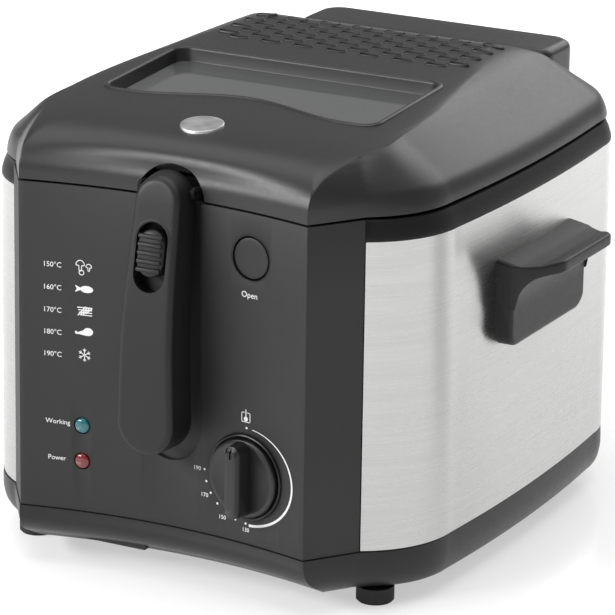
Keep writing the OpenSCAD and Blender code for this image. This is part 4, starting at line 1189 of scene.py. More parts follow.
class FRYER_OT_window(bpy.types.Operator):
    """Builds the window's sunk surround with its rounded lip, and the glass"""
    bl_idname = "fryer.window"
    bl_label = "Window"

    def execute(self, context):
        drop = 1000 * sizes().window_drop

        def level(y, down):
            return LID_Z + ROLL_HEIGHT(y) - drop - down

        def surround(bm):
            rows = []
            for inset, up, under in (
                    (-1.5, -3, 0), (-1.3, 0.0, 0), (-0.8, 0.45, 0), (-0.1, 0.72, 0), (0.5, 0.66, 0),
                    (1.0, 0.36, 0), (1.4, -0.15, 0), (1.6, -0.9, 0), (2.0, None, -0.6),
                    (2.4, None, 0.4), (5.0, None, 0.4), (5.0, None, 2.6), (0.2, None, 2.6)):
                loop = window_loop(inset)
                if up is not None:
                    rows.append([(x, y, lid_height(x, y) + up) for x, y in loop])
                else:
                    rows.append([(x, y, level(y, under)) for x, y in loop])
            loft(bm, rows, closed=True)
        well = scratch("window_surround", surround)
        piece(well, "shell plastic", "lid", ["window_frame"], 40)

        def pane(bm):
            rows = [[(x, y, level(y, 3.2)) for x, y in window_loop(2.1)],
                    [(x, y, level(y, 0.3)) for x, y in window_loop(2.1)],
                    [(x, y, level(y, 0.0)) for x, y in window_loop(2.5)]]
            loft(bm, rows)
        glass = scratch("window_pane", pane)
        piece(glass, "window glass", "lid", ["lid_window"], 30)
        return {"FINISHED"}


class FRYER_OT_grille(bpy.types.Operator):
    """Puts a raised lip round every vent slot"""
    bl_idname = "fryer.grille"
    bl_label = "Vent slot lips"

    def execute(self, context):
        width = 1000 * sizes().slot_width

        def lip(bm):
            rows = [[(x, y, z) for x, y in oblong(1000 * sizes().slot_length, width, inset)] for inset, z in
                    ((-0.85, -0.4), (-0.7, 0.2), (-0.35, 0.46), (0.05, 0.36), (0.15, 0.0), (0.15, -0.6))]
            loft(bm, rows, closed=True)
        places = []
        for x, y, _ in slot_spots():
            slope = math.atan((lid_height(x, y + 2) - lid_height(x, y - 2)) / 4)
            lean = math.atan((lid_height(x + 2, y) - lid_height(x - 2, y)) / 4)
            places.append(((x, y, lid_height(x, y)), (slope, -lean, 0)))
        lips = repeated("vent_lips", local_shape("lip", lip), places, "shell plastic")
        piece(lips, "shell plastic", "lid", (), 50)
        return {"FINISHED"}


BADGE_R = 11.5
BADGE_Y = 42.6
BADGE_SQUASH = 11.4 / BADGE_R     # seen from above, as it leans with the lid


class FRYER_OT_badge(bpy.types.Operator):
    """Builds the plain round badge on the lid front"""
    bl_idname = "fryer.badge"
    bl_label = "Badge"

    def execute(self, context):
        def disc_badge(bm):
            rows = []
            for k, up in ((1.0, -1.2), (1.0, 0.75), (0.985, 1.05), (0.95, 1.2), (0.9, 1.1),
                          (0.86, 1.05), (0.4, 1.1)):
                loop = [(x, BADGE_Y + BADGE_SQUASH * y) for x, y, _ in circle(BADGE_R * k, 0, 72)]
                rows.append([(x, y, LID_Z + ROLL_HEIGHT(y) + up) for x, y in loop])
            loft(bm, rows)
        badge = scratch("round_badge", disc_badge)
        piece(badge, "badge metal", "lid", ["lid_badge"], 30)
        return {"FINISHED"}


# ---------------------------------------------------------------- basket handle
# Y of the handle's face and back against height.
GRIP_FACE = Track([(79, -17.2), (100, -17.2), (131, -16.8), (162, -13.9), (198, -7.3), (213, -4.6),
                   (227, -1.0)])
GRIP_BACK = Track([(80, 3.6), (92, 4.4), (131, 4.4), (150, 5.5), (180, 9.5), (205, 11.6), (216, 12.2),
                   (227, 12.4)])
GRIP_LOW, GRIP_LOW_R = 96.4, 16.4         # centre height and radius of the handle's lower end
GRIP_HIGH, GRIP_HIGH_R = 211.6, 13.0      # and of its upper end
SLIDER_LEAN = math.radians(10.3)
SLIDER_Y, SLIDER_Z = -8.6, 186.0          # middle of the slider's leaning face


def grip_loop(inset):
    """Front view of the handle as (x, z): round top and bottom with a slight taper."""
    top, bottom = GRIP_HIGH_R - inset, GRIP_LOW_R - inset
    pts = []
    for r, z, first, sign, run in ((bottom, GRIP_LOW, math.pi, 1, (0, 1)), (top, GRIP_HIGH, 0, -1, (1, 0))):
        for i in range(25):
            a = first + math.pi * i / 24
            pts.append((r * math.cos(a), z + r * math.sin(a)))
        for k in spread(*run, 16)[1:-1]:
            pts.append((sign * (bottom + (top - bottom) * k), GRIP_LOW + (GRIP_HIGH - GRIP_LOW) * k))
    return pts


def face_frame(p, out):
    """Puts (x, along, out) of the slider's leaning face into place."""
    c, s = math.cos(SLIDER_LEAN), math.sin(SLIDER_LEAN)
    return (p[0], SLIDER_Y + p[1] * s - out * c, SLIDER_Z + p[1] * c + out * s)


def pill(hw, length, inset, n=12):
    r = hw - inset
    s = length / 2 - hw
    pts = []
    for cz, a0 in ((s, 0), (-s, 180)):
        for i in range(n + 1):
            a = math.radians(a0 + 180 * i / n)
            pts.append((r * math.cos(a), cz + r * math.sin(a)))
    return pts


class FRYER_OT_grip(bpy.types.Operator):
    """Builds the fold-out basket handle with its thumb slider"""
    bl_idname = "fryer.grip"
    bl_label = "Basket handle"

    def execute(self, context):
        r = 1000 * sizes().grip_round

        def body(bm):
            rows = []
            for inset in (12.4, 9.0, 5.0, 2.0, 0.4, -0.5):
                curl = 3 - 3 * math.sqrt(max(0, 1 - ((2 - min(2, inset)) / 3) ** 2))
                rows.append([(x, GRIP_BACK(z) - curl, z) for x, z in grip_loop(inset)])
            rows.append([(x, GRIP_BACK(z) - 3, z) for x, z in grip_loop(-1.0)])
            rows.append([(x, 0.5 * (GRIP_BACK(z) + GRIP_FACE(z)), z) for x, z in grip_loop(-0.6)])
            for i in range(9):
                a = math.pi / 2 * i / 8
                rows.append([(x, GRIP_FACE(z) + r * (1 - math.sin(a)), z)
                             for x, z in grip_loop(r * (1 - math.cos(a)))])
            for inset in (5.5, 8.0, 10.5, 12.4):
                rows.append([(x, GRIP_FACE(z), z) for x, z in grip_loop(inset)])
            loft(bm, rows)
        grip = scratch("basket_grip", body)
        half, length, middle = 9.1, 36.4, -2.1     # the slider's recess, with room for its travel

        def recess(inset, out):
            return [face_frame((x, y + middle), out) for x, y in pill(half, length, inset)]

        def pocket(bm):
            loft(bm, [recess(0, out) for out in (-8.5, 12)])
        combine(grip, scratch("pocket", pocket), "DIFFERENCE")
        pivot = Matrix.Translation((0, PIVOT_Y, PIVOT_Z)) @ Matrix.Rotation(math.radians(90), 4, "Y")
        combine(grip, scratch("bore", lambda bm: drum(bm, 1.6, -30, 30, pivot, 24)), "DIFFERENCE")

        def pin(bm):
            turned(bm, [(1.1, -14.6), (1.5, -14.3), (1.5, 14.3), (1.1, 14.6)], pivot, 24)
        node = frame["nodes"]["grip_pin"]
        holder = next(name for name, body in frame["bodies"].items() if body == node.parent)
        piece(scratch("pivot_pin", pin), "deep plastic", holder, ["grip_pin"], 30)

        def bezel(bm):
            loft(bm, [recess(inset, out + 0.15) for inset, out in (
                (-1.9, -0.6), (-1.8, 0.25), (-1.45, 0.75), (-0.9, 0.95), (-0.35, 0.8), (0.05, 0.3),
                (0.1, -1.4))], closed=True)
        join(grip, scratch("bezel", bezel))
        piece(grip, "grip plastic", "handle", ["grip_shell", "grip_back"], 40)

        def pad(bm):
            loft(bm, [[face_frame(p, out) for p in pill(7.7, 24.6, inset)] for inset, out in (
                (0.0, -7.6), (0.0, 0.6), (0.35, 1.5), (1.2, 2.1), (2.6, 2.4), (5.0, 2.6), (7.6, 2.7))])
        slider = scratch("thumb_pad", pad)

        def rib(bm):
            rows = []
            for x, k in ((-7.0, 0.2), (-6.7, 0.8), (-6.1, 1.0), (6.1, 1.0), (6.7, 0.8), (7.0, 0.2)):
                rows.append([(x, -1.0 * k * math.sin(a) * 1.25, 1.25 * k * math.cos(a)) for a in
                             [2 * math.pi * i / 12 for i in range(12)]])
            loft(bm, rows)
        spots = [(face_frame((0, s), 2.5), (-SLIDER_LEAN, 0, 0)) for s in (-8.6, -4.3, 0, 4.3, 8.6)]
        ribs = repeated("pad ribs", local_shape("rib", rib), spots, "trim plastic")
        join(slider, ribs)
        piece(slider, "grip plastic", "slider", ["thumb_slider"], 35)
        return {"FINISHED"}


BLOCK_X = 143.3           # outer face of a side handle's block, under its shelf


class FRYER_OT_side_handles(bpy.types.Operator):
    """Builds the two side handles with their dished shelves and lips"""
    bl_idname = "fryer.side_handles"
    bl_label = "Side handles"

    def execute(self, context):
        y0 = edge("side_handle_right", 0, 1) + SETBACK
        y1 = edge("side_handle_right", 1, 1) + SETBACK
        top = edge("side_handle_right", 1, 2)
        hw = 134.8
        shelf = Track([(128, 0.0), (134, -0.5), (140, -1.5), (147.8, -2.9), (154.8, -2.7), (160, -1.2),
                       (163.6, -0.5), (166, -0.9)])
        under = Track([(143.2, -27), (143.5, -24), (144.6, -19.5), (147.6, -14), (152.2, -10),
                       (158, -8.0), (162, -7.3), (166, -6.9)])
        flare = Track([(0, 0.0), (2, 0.16), (6, 0.42), (11, 0.76), (14, 0.91), (17, 0.985), (20, 1.0),
                       (46, 1.0)])

        def reach(y):
            return BLOCK_X + 21.9 * flare(min(y - y0, y1 - y))

        def lower(y):
            d = min(y - y0, y1 - y)
            return 10 - math.sqrt(max(0.0, 100 - (10 - min(10, d)) ** 2))

        def profile(y, draw):
            """One slice across the handle; draw shrinks it a little at the two ends."""
            far = max(BLOCK_X, reach(y)) - draw
            pts = [(hw - 7, top - draw)]
            for k in spread(0, 1, 18):
                x = hw - 6 + (far - 1.6 - hw + 6) * k
                pts.append((x, top + shelf(x) - draw))
            t0, t1 = pts[-1][1], top + under(far - 1.4) + draw
            r = min(1.6, (t0 - t1) / 2)
            for i in range(1, 8):
                a = math.pi / 2 - math.pi / 2 * i / 8
                pts.append((far - 1.6 + 1.6 * math.cos(a), t0 - r + r * math.sin(a)))
            pts.append((far, 0.5 * (t0 + t1)))
            for i in range(1, 8):
                a = -math.pi / 2 * i / 8
                pts.append((far - 1.6 + 1.6 * math.cos(a), t1 + r + r * math.sin(a)))
            for k in spread(0, 1, 18):
                x = far - 1.6 + (BLOCK_X - draw - far + 1.6) * k
                pts.append((x, min(t0 - 1, top + under(x) + draw)))
            z_low = top - 48 + lower(y) + draw
            for z in spread(min(top - 27, t1), z_low + 3.0, 6)[1:]:
                pts.append((143.2 - draw, z))
            for i in range(1, 7):
                a = -math.pi / 2 * i / 6
                pts.append((140.2 - draw + 3.0 * math.cos(a), z_low + 3.0 + 3.0 * math.sin(a)))
            pts.append((hw - 7, z_low))
            return pts

        stops = [(y0, 1.6), (y0 + 0.3, 0.9), (y0 + 0.8, 0.35), (y0 + 1.6, 0.0)]
        for first, last, count in ((y0 + 2.6, y0 + 22, 16), (y0 + 26, y1 - 26, 8), (y1 - 22, y1 - 2.6, 16)):
            stops += [(y, 0.0) for y in spread(first, last, count)]
        stops += [(y1 - 1.6, 0.0), (y1 - 0.8, 0.35), (y1 - 0.3, 0.9), (y1, 1.6)]
        for side, sign in (("right", 1), ("left", -1)):
            obj = scratch(f"hand_hold_{side}", lambda bm: loft(
                bm, [[(sign * x, y, z) for x, z in profile(y, draw)] for y, draw in stops]))
            piece(obj, "grip plastic", "housing", [f"side_handle_{side}"], 32)
        return {"FINISHED"}


def collar(name, node, at, profile):
    """A closed ring on the panel, turned from a profile of (radius, height)."""
    obj = scratch(name, lambda bm: loft(
        bm, [circle(r, z, 96) for r, z in profile], closed=True, matrix=at))
    piece(obj, "trim plastic", "housing", [node], 30)


class FRYER_OT_controls(bpy.types.Operator):
    """Builds the dial, its ring, the release button, its ring and the two lamp lenses"""
    bl_idname = "fryer.controls"
    bl_label = "Controls"

    def execute(self, context):
        at = on_panel(*DIAL_AT)
        collar("dial_surround", "dial_ring_trim", at, (
            (23.0, 0.0), (23.0, 1.3), (22.75, 1.8), (22.3, 2.05), (21.85, 1.95), (21.5, 1.5),
            (21.4, 0.2), (21.4, 0.0)))

        def knob(bm):
            turned(bm, [(20.4, 1.2), (20.9, 1.4), (21.0, 2.4), (20.9, 3.6), (20.5, 4.2), (19.6, 4.6),
                        (18.5, 4.55), (17.0, 4.2), (12.0, 3.9), (0.5, 3.8)], at, 96)
        dial = scratch("temperature_dial", knob)

        def bar(bm):
            rows = []
            for k, z in ((1.0, 3.0), (0.985, 5.0), (0.955, 8.0), (0.92, 11.0), (0.9, 12.4),
                         (0.87, 13.3), (0.82, 13.8), (0.7, 14.0), (0.3, 14.05)):
                hw, hl = 5.9 * (1 - 0.35 * (z / 14) ** 1.4), 20.3 * (1 - 0.045 * (z / 14) ** 2)
                if z > 12.4:
                    hw -= min(hw * (0.95 - k), hw - 0.3)
                    hl -= min(2.0 + (0.9 - k) * 6, hl - 1)
                r = min(hw * 0.9, 4.5)
                pts = []
                for cx, cy, a0 in ((hw - r, hl - r, 0), (-hw + r, hl - r, 90), (-hw + r, -hl + r, 180),
                                   (hw - r, -hl + r, 270)):
                    for i in range(7):
                        a = math.radians(a0 + 90 * i / 6)
                        pts.append((cx + r * math.cos(a), cy + r * math.sin(a), z))
                rows.append(pts)
            loft(bm, rows, matrix=at)
        combine(dial, scratch("bar", bar), "UNION")
        notch = at @ Matrix.Translation((0, 15.2, 13.6))
        combine(dial, scratch("notch", lambda bm: loft(bm, [
            [(-0.9 * k, y * 1.0, z), (0.9 * k, y, z), (0.9 * k, y + 7, z), (-0.9 * k, y + 7, z)]
            for k, y, z in ((0.35, -2, -0.9), (1.0, -2.6, 3.0))], matrix=notch)), "DIFFERENCE")
        piece(dial, "trim plastic", "dial", ["dial_knob"], 28)

        at = on_panel(*BUTTON_AT)
        collar("button_surround", "button_ring", at, (
            (12.4, -2.6), (12.4, 0.15), (12.15, 0.4), (11.9, 0.42), (11.65, 0.2), (11.5, -0.4),
            (11.4, -1.4), (10.95, -1.9), (10.95, -2.6)))

        def cap(bm):
            turned(bm, [(3, -14), (3, -8), (10.6, -8), (10.75, -7.6), (10.75, -0.5), (10.6, -0.05),
                        (10.2, 0.25), (9.4, 0.38), (6, 0.22), (0.5, 0.12)], at, 72)
        button = scratch("release_button", cap)
        piece(button, "panel plastic", "button", ["open_button"], 30)

        for lamp, spot, tone in (("working", WORKING_AT, "teal"), ("power", POWER_AT, "red")):
            obj = scratch("lamp_lens_" + lamp, lambda bm: turned(bm, [
                (4.55, -9), (4.6, -8.6), (4.6, -1.2), (4.0, -0.9), (3.95, 0.1), (3.8, 0.5), (3.4, 0.85),
                (2.2, 1.25), (1.0, 1.42), (0.2, 1.45)], on_panel(*spot), 48))
            piece(obj, tone + " lens", "housing", ["lamp_" + lamp], 30)
        return {"FINISHED"}


# ---------------------------------------------------------------- printed marks
def on_surface(x, z, out):
    """A point that far off the dished panel."""
    a = panel_tilt(x)
    return (x + out * math.sin(a), panel_y(x) - out * math.cos(a), z)


def mark(bm, loop, middle):
    """A thin raised patch on the panel from a flat outline in millimetres."""
    thick = 1000 * sizes().print_height
    flat = [(middle[0] + u, middle[1] + v) for u, v in loop]
    low = [bm.verts.new(place(on_surface(x, z, -0.05))) for x, z in flat]
    high = [bm.verts.new(place(on_surface(x, z, thick))) for x, z in flat]
    n = len(flat)
    for i in range(n):
        bm.faces.new((low[i], low[(i + 1) % n], high[(i + 1) % n], high[i]))
    for tri in tessellate_polygon([[Vector((u, v, 0)) for u, v in loop]]):
        for verts, order in ((high, tri), (low, tri[::-1])):
            try:
                bm.faces.new([verts[i] for i in order])
            except ValueError:
                pass


def disc(r, n=16, cx=0.0, cy=0.0, squash=1.0):
    return [(cx + x, cy + squash * y) for x, y, _ in circle(r, 0, n)]


def line(a, b, w):
    dx, dy = b[0] - a[0], b[1] - a[1]
    k = w / 2 / math.hypot(dx, dy)
    return [(a[0] - dy * k, a[1] + dx * k), (a[0] + dy * k, a[1] - dx * k), (b[0] + dy * k, b[1] - dx * k),
            (b[0] - dy * k, b[1] + dx * k)]


def arc_band(radius, a0, a1, w0, w1, n=40):
    """A curved band whose width runs from w0 to w1; angles clockwise from the top."""
    outer, inner = [], []
    for i in range(n + 1):
        a = math.radians(a0 + (a1 - a0) * i / n)
        w = (w0 + (w1 - w0) * i / n) / 2
        outer.append(((radius + w) * math.sin(a), (radius + w) * math.cos(a)))
        inner.append(((radius - w) * math.sin(a), (radius - w) * math.cos(a)))
    return outer + inner[::-1]


def outline_arc(cx, cy, r, a0, a1, w=0.35, n=10, squash=1.0):
    """A thin arc drawn about a point; angles anticlockwise from the right."""
    out = []
    for sign in (1, -1):
        row = [(cx + (r + sign * w / 2) * math.cos(math.radians(a)),
                cy + squash * (r + sign * w / 2) * math.sin(math.radians(a)))
               for a in [a0 + (a1 - a0) * i / n for i in range(n + 1)]]
        out += row if sign == 1 else row[::-1]
    return out


def text_mesh(words, height, middle, align="CENTER"):
    """Generic lettering as a thin patch that follows the panel."""
    curve = bpy.data.curves.new(words, "FONT")
    curve.body = words
    curve.align_x = align
    curve.align_y = "CENTER"
    curve.size = height
    curve.resolution_u = 3
    obj = bpy.data.objects.new(words, curve)
    bpy.context.scene.collection.objects.link(obj)
    graph = bpy.context.evaluated_depsgraph_get()
    mesh = bpy.data.meshes.new_from_object(obj.evaluated_get(graph))
    bpy.data.objects.remove(obj)
    bm = bmesh.new()
    bm.from_mesh(mesh)
    bmesh.ops.remove_doubles(bm, verts=bm.verts, dist=1e-4)
    bmesh.ops.dissolve_degenerate(bm, edges=bm.edges, dist=1e-5)
    thick = 1000 * sizes().print_height
    extra = bmesh.ops.extrude_face_region(bm, geom=bm.faces[:])
    moved = set(g for g in extra["geom"] if isinstance(g, bmesh.types.BMVert))
    for v in bm.verts:
        out = thick if v in moved else -0.05
        v.co = place(on_surface(middle[0] + v.co.x, middle[1] + v.co.y, out))
    bmesh.ops.recalc_face_normals(bm, faces=bm.faces)
    bm.to_mesh(mesh)
    bm.free()
    return mesh


def symbols(bm):
    """Plain food symbols beside the temperatures."""
    x, thin = -49.0, 0.42
    z = 167.0
    for cx, cz, r in ((-2.3, 1.0, 2.3), (2.4, 0.2, 1.5)):
        mark(bm, outline_arc(cx, cz, r, -10, 190, thin, 14), (x, z))
        mark(bm, line((cx - r, cz - 0.3), (cx - r * 0.35, cz - 0.5), thin), (x, z))
        mark(bm, line((cx + r, cz - 0.3), (cx + r * 0.35, cz - 0.5), thin), (x, z))
        mark(bm, line((cx - r * 0.35, cz - 0.4), (cx - r * 0.3, cz - r * 1.2), thin), (x, z))
        mark(bm, line((cx + r * 0.35, cz - 0.4), (cx + r * 0.3, cz - r * 1.2), thin), (x, z))
        mark(bm, outline_arc(cx, cz - r * 1.2, r * 0.32, 180, 360, thin, 6), (x, z))
    mark(bm, outline_arc(-1.6, -3.2, 1.3, 0, 359, thin, 16), (x, z))
    z = 155.0
    mark(bm, disc(3.6, 24, 1.2, 0, 0.52), (x, z))
    mark(bm, [(-5.2, 1.9), (-1.6, 0.35), (-1.6, -0.35), (-5.2, -1.9), (-4.2, 0)], (x, z))
    z = 143.0
    for i in range(4):
        mark(bm, line((-3.6 + i * 1.4, -2.4 + i * 0.4), (0.6 + i * 1.2, 2.6 - i * 0.2), 0.62), (x, z))
        mark(bm, line((-4.0 + i * 0.5, 1.9 - i * 1.3), (4.2, 2.2 - i * 1.4), 0.5), (x, z))
    z = 131.6
    mark(bm, disc(2.7, 20, 2.0, 0.5, 0.8), (x, z))
    leg = [(0.6, 1.6), (-3.8, -0.2), (-4.9, 0.5), (-5.4, -0.4), (-4.6, -1.3), (-3.4, -1.1), (1.2, -1.7)]
    mark(bm, leg, (x, z))
    z = 119.3
    for k in range(6):
        a = math.radians(60 * k + 30)
        ux, uz = math.cos(a), math.sin(a)
        mark(bm, line((0.25 * ux, 0.25 * uz), (3.5 * ux, 3.5 * uz), 0.42), (x, z))
        for s in (-1, 1):
            b = a + s * math.radians(42)
            tip = (2.0 * ux + 1.3 * math.cos(b), 2.0 * uz + 1.3 * math.sin(b))
            mark(bm, line((2.0 * ux, 2.0 * uz), tip, 0.36), (x, z))
    # Thermometer over the dial.
    x, z = 46.2, 102.0
    for a, b in (((-2.6, -2.2), (-2.6, 1.6)), ((2.6, -2.2), (2.6, 1.6)), ((-2.0, -2.8), (2.0, -2.8)),
                 ((-2.0, 2.2), (-0.8, 2.2)), ((0.8, 2.2), (2.0, 2.2))):
        mark(bm, line(a, b, 0.4), (x, z))
    for cx, cz, a0 in ((-2.0, -2.2, 180), (2.0, -2.2, 270), (2.0, 1.6, 0), (-2.0, 1.6, 90)):
        mark(bm, outline_arc(cx, cz, 0.6, a0, a0 + 90, 0.4, 4), (x, z))
    mark(bm, disc(1.25, 16, 0, -1.2), (x, z))
    mark(bm, line((0, -0.6), (0, 3.9), 0.55), (x, z))


class FRYER_OT_prints(bpy.types.Operator):
    """Prints the temperature scale, the lamp and button words and plain food symbols"""
    bl_idname = "fryer.prints"
    bl_label = "Printed marks"

    def execute(self, context):
        def scale(bm):
            symbols(bm)
            mark(bm, disc(0.62, 14), (DIAL_AT[0], DIAL_AT[1] + 26.3))
            mark(bm, [(u * 29.5 / 26.2, v) for u, v in arc_band(26.2, 7, 176, 0.35, 1.4)], DIAL_AT)
            for k in range(7):
                a = math.radians(180 + 87 * k / 6)
                mark(bm, disc(0.6, 14), (DIAL_AT[0] + 25.9 * math.sin(a), DIAL_AT[1] + 25.5 * math.cos(a)))
        marks = scratch("printed_marks", scale)
        bm = bmesh.new()
        bm.from_mesh(marks.data)
        words = [(f"{t}°C", 3.9, (-66.5, z)) for t, z in
                 ((150, 166.5), (160, 154.2), (170, 142.0), (180, 130.0), (190, 118.0))]
        words += [("Open", 4.4, (47.7, 167.0)), ("Working", 3.7, (-63.7, 81.2)), ("Power", 3.7, (-64.3, 61.2))]
        for label, turn in (("130", 180), ("150", 209), ("170", 238), ("190", 267)):
            a = math.radians(turn)
            words.append((label, 3.1, (DIAL_AT[0] + 30.4 * math.sin(a), DIAL_AT[1] + 29.0 * math.cos(a))))
        for text, height, middle in words:
            mesh = text_mesh(text, height, middle)
            bm.from_mesh(mesh)
            bpy.data.meshes.remove(mesh)
        bm.to_mesh(marks.data)
        bm.free()
        piece(marks, "print", "housing", (), 30)
        return {"FINISHED"}


# ---------------------------------------------------------------- inside
class FRYER_OT_pot(bpy.types.Operator):
    """Builds the pressed oil pot with its rolled flange"""
    bl_idname = "fryer.pot"
    bl_label = "Oil pot"

    def execute(self, context):
        def wall_ring(grow, z):
            plan = rounded(POT_HW + grow, POT_Y0 - grow, POT_Y1 + grow, max(5, POT_R + grow))
            return [(x, y, z) for x, y in plan]

        def pot(bm):
            outer = [(0, POT_Z0 + 14), (-2, POT_Z0 + 6), (-6, POT_Z0 + 1.6), (-12, POT_Z0), (-40, POT_Z0)]
            inner = [(-40, POT_Z0 + 1.2), (-12.4, POT_Z0 + 1.2), (-7.2, POT_Z0 + 2.6), (-3.4, POT_Z0 + 6.6),
                     (-1.3, POT_Z0 + 14), (-1.2, POT_Z1 - 3), (-0.6, POT_Z1 - 0.4), (1, POT_Z1 + 0.0)]
            flange = [(6, POT_Z1 - 1.2), (0.4, POT_Z1 - 1.3), (0, POT_Z1 - 2)]
            outside = loft(bm, [wall_ring(g, z) for g, z in flange + outer], caps=False)
            fill(bm, outside[-1])
            inside = loft(bm, [wall_ring(g, z) for g, z in inner + [(5.6, POT_Z1)]], caps=False)
            fill(bm, inside[0])
            n = len(outside[0])
            for i in range(n):
                j = (i + 1) % n
                bm.faces.new((outside[0][i], outside[0][j], inside[-1][j], inside[-1][i]))
        obj = scratch("pressed_pot", pot)
        piece(obj, "pot steel", "housing", ["oil_pot"], 40)
        return {"FINISHED"}


class FRYER_OT_basket(bpy.types.Operator):
    """Bends and welds the wire basket"""
    bl_idname = "fryer.basket"
    bl_label = "Wire basket"

    def execute(self, context):
        low = [1000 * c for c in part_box("basket_frame")[0]]
        high = [1000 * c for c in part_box("basket_frame")[1]]
        hw, y0, y1 = high[0] - 1.7, low[1] + SETBACK + 1.7, high[1] + SETBACK - 1.7
        z0, z1 = low[2] + 1.0, high[2] - 1.7
        r = 29.0
        tree, ids = wire_tree()

        def wires(name, loops, lines, radius, sides):
            verts, edges = [], []
            for loop in loops:
                start = len(verts)
                verts += loop
                edges += [(start + i, start + (i + 1) % len(loop)) for i in range(len(loop))]
            for path in lines:
                start = len(verts)
                verts += path
                edges += [(start + i, start + i + 1) for i in range(len(path) - 1)]
            mesh = bpy.data.meshes.new(name)
            mesh.from_pydata([place(p) for p in verts], edges, [])
            return grown(name, mesh, tree, ids, {"Radius": radius, "Sides": sides,
                                                 "Material": bpy.data.materials["basket chrome"]})

        def hoop(z, draw):
            return [(x, y, z) for x, y in rounded(hw - draw, y0 + draw, y1 - draw, r - draw, 8)]
        wire = sizes().wire
        rim = wires("basket_rim", [hoop(z1, 0)], [], 0.0017, 12)
        piece(rim, "basket chrome", "basket", ["basket_frame"], 60)
        steps = spread(z0, z1, 6)
        hoops = [hoop(z, 3.5 + 0.8 * (z1 - z) / (z1 - z0)) for z in steps[:-1]]
        paths = []

        def strand(first, last, low):
            """A wire down one wall, across the floor and up the other, as (along, height)."""
            down = [(first + 5.6 - 1.6 * (1 - t), low + 8 * s) for t, s in ((0, 1), (0.5, 0.3), (1, 0))]
            rise = [(last - 5.6 + 1.6 * t, low + 8 * s) for t, s in ((0, 0), (0.5, 0.3), (1, 1))]
            return [(first, z1)] + down + rise + [(last, z1)]
        middle = 0.5 * (y0 + y1)
        steps = [k * 7.5 for k in range(-9, 10)]
        paths += [[(x, y, z) for y, z in strand(y0, y1, z0)] for x in steps if abs(x) < hw - r]
        paths += [[(x, middle + d, z) for x, z in strand(-hw, hw, z0 + 1.6)]
                  for d in steps if y0 + r < middle + d < y1 - r]
        for cx, cy, a0 in ((hw - r, y0 + r, -90), (hw - r, y1 - r, 0),
                           (-hw + r, y1 - r, 90), (-hw + r, y0 + r, 180)):
            for a in (18, 36, 54, 72):
                c, s = math.cos(math.radians(a0 + a)), math.sin(math.radians(a0 + a))
                paths.append([(cx + r * c, cy + r * s, z1), (cx + (r - 4.3) * c, cy + (r - 4.3) * s, z0 + 6),
                              (cx + (r - 6) * c, cy + (r - 6) * s, z0)])
        mesh_piece = wires("basket_mesh", hoops, paths, wire, 8)
        piece(mesh_piece, "basket chrome", "basket", ["basket_bars"], 60)

        def hook(bm):
            f, foot, top = low[1] + SETBACK, z1 - 27, high[2] + 6
            section = [(f, foot), (f, top), (f - 7.4, top), (f - 7.4, top - 1.4), (f - 1.5, top - 1.4),
                       (f - 1.5, foot)]
            loft(bm, [[(x, y, z) for y, z in section] for x in (-16, 16)])
        bracket = scratch("basket_hook", hook)
        soften(bracket, 0.0005, 30, 2)
        piece(bracket, "basket chrome", "basket", ["basket_bracket"], 30)
        return {"FINISHED"}


class FRYER_OT_screws(bpy.types.Operator):
    """Puts screw heads with a dished middle in the base, handle and liner, and gives the side handles' screws the
    fastener steel
    """
    bl_idname = "fryer.screws"
    bl_label = "Screws"

    def execute(self, context):
        def head(radius, height):
            def build(bm):
                dome = ((1, 0), (1, 0.55), (0.9, 0.85), (0.6, 1), (0.45, 0.98), (0.3, 0.5),
                        (0.05 / radius, 0.45))
                loft(bm, [circle(radius * r, height * z, 24) for r, z in dome])
            return build
        groups = (
            ("base_screw_heads", "housing", 3.2, 1.1, "base_screws", (math.pi, 0, 0), 0),
            ("grip_screw_heads", "handle", 2.6, 1.7, "grip_screws", (-math.pi / 2, 0, 0), 1),
            ("liner_screw_heads", "lid", 3.0, 1.5, "liner_screws", (math.pi, 0, 0), 0),
        )
        for name, body, radius, height, node, angles, axis in groups:
            mesh = frame["nodes"][node].data
            spots = []
            for island in islands(mesh):
                xs, ys, zs = zip(*island)
                mid = [500 * (min(v) + max(v)) for v in (xs, ys, zs)]
                if axis == 0:
                    at = (mid[0], mid[1] + SETBACK, 1000 * max(zs))
                else:
                    at = (mid[0], 1000 * min(ys) + SETBACK, mid[2])
                spots.append((at, angles))
            screws = repeated(name, local_shape("screw", head(radius, height)), spots, "fastener steel")
            piece(screws, "fastener steel", body, [node], 30)
        mesh = frame["nodes"]["side_handle_screws"].data
        mesh.materials.clear()
        mesh.materials.append(bpy.data.materials["fastener steel"])
        return {"FINISHED"}


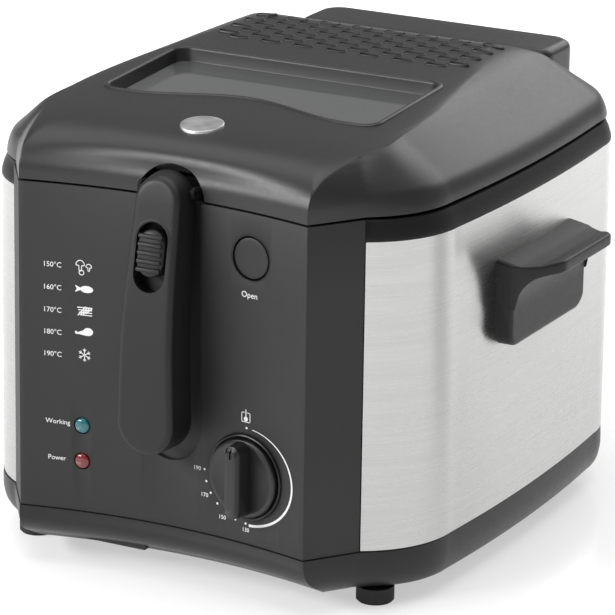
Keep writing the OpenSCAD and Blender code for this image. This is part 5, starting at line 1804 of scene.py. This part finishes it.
def islands(mesh):
    """Groups a node's vertices by the solids they belong to."""
    bm = bmesh.new()
    bm.from_mesh(mesh)
    bmesh.ops.remove_doubles(bm, verts=bm.verts, dist=1e-6)
    left = set(bm.verts)
    out = []
    while left:
        todo, seen = [left.pop()], []
        while todo:
            v = todo.pop()
            seen.append(tuple(v.co))
            for e in v.link_edges:
                o = e.other_vert(v)
                if o in left:
                    left.discard(o)
                    todo.append(o)
        out.append(seen)
    bm.free()
    return sorted(out)


STEPS = ("stage", "finishes", "panel", "steel", "rim", "base", "rear_box", "lid", "window", "grille", "badge",
         "grip", "side_handles", "controls", "prints", "pot", "basket", "screws")


class FRYER_PT_panel(bpy.types.Panel):
    """Lists the fryer's build steps, sizes and colours"""
    bl_idname = "FRYER_PT_panel"
    bl_label = "Deep Fryer"
    bl_space_type = "VIEW_3D"
    bl_region_type = "UI"
    bl_category = "Fryer"

    def draw(self, context):
        for step in STEPS:
            self.layout.operator("fryer." + step)
        for group in (context.scene.fryer_sizes, context.scene.fryer_colours):
            for name in group.__annotations__:
                self.layout.prop(group, name)


CLASSES = (
    FryerSizes, FryerColours, FRYER_OT_stage, FRYER_OT_finishes, FRYER_OT_panel, FRYER_OT_steel,
    FRYER_OT_rim, FRYER_OT_base, FRYER_OT_rear_box, FRYER_OT_lid, FRYER_OT_window, FRYER_OT_grille,
    FRYER_OT_badge, FRYER_OT_grip, FRYER_OT_side_handles, FRYER_OT_controls, FRYER_OT_prints,
    FRYER_OT_pot, FRYER_OT_basket, FRYER_OT_screws, FRYER_PT_panel)


def register():
    for cls in CLASSES:
        bpy.utils.register_class(cls)
    bpy.types.Scene.fryer_sizes = PointerProperty(type=FryerSizes)
    bpy.types.Scene.fryer_colours = PointerProperty(type=FryerColours)


def unregister():
    del bpy.types.Scene.fryer_sizes
    del bpy.types.Scene.fryer_colours
    for cls in reversed(CLASSES):
        bpy.utils.unregister_class(cls)


def main():
    register()
    for step in STEPS:
        getattr(bpy.ops.fryer, step)()


if __name__ == "__main__":
    main()
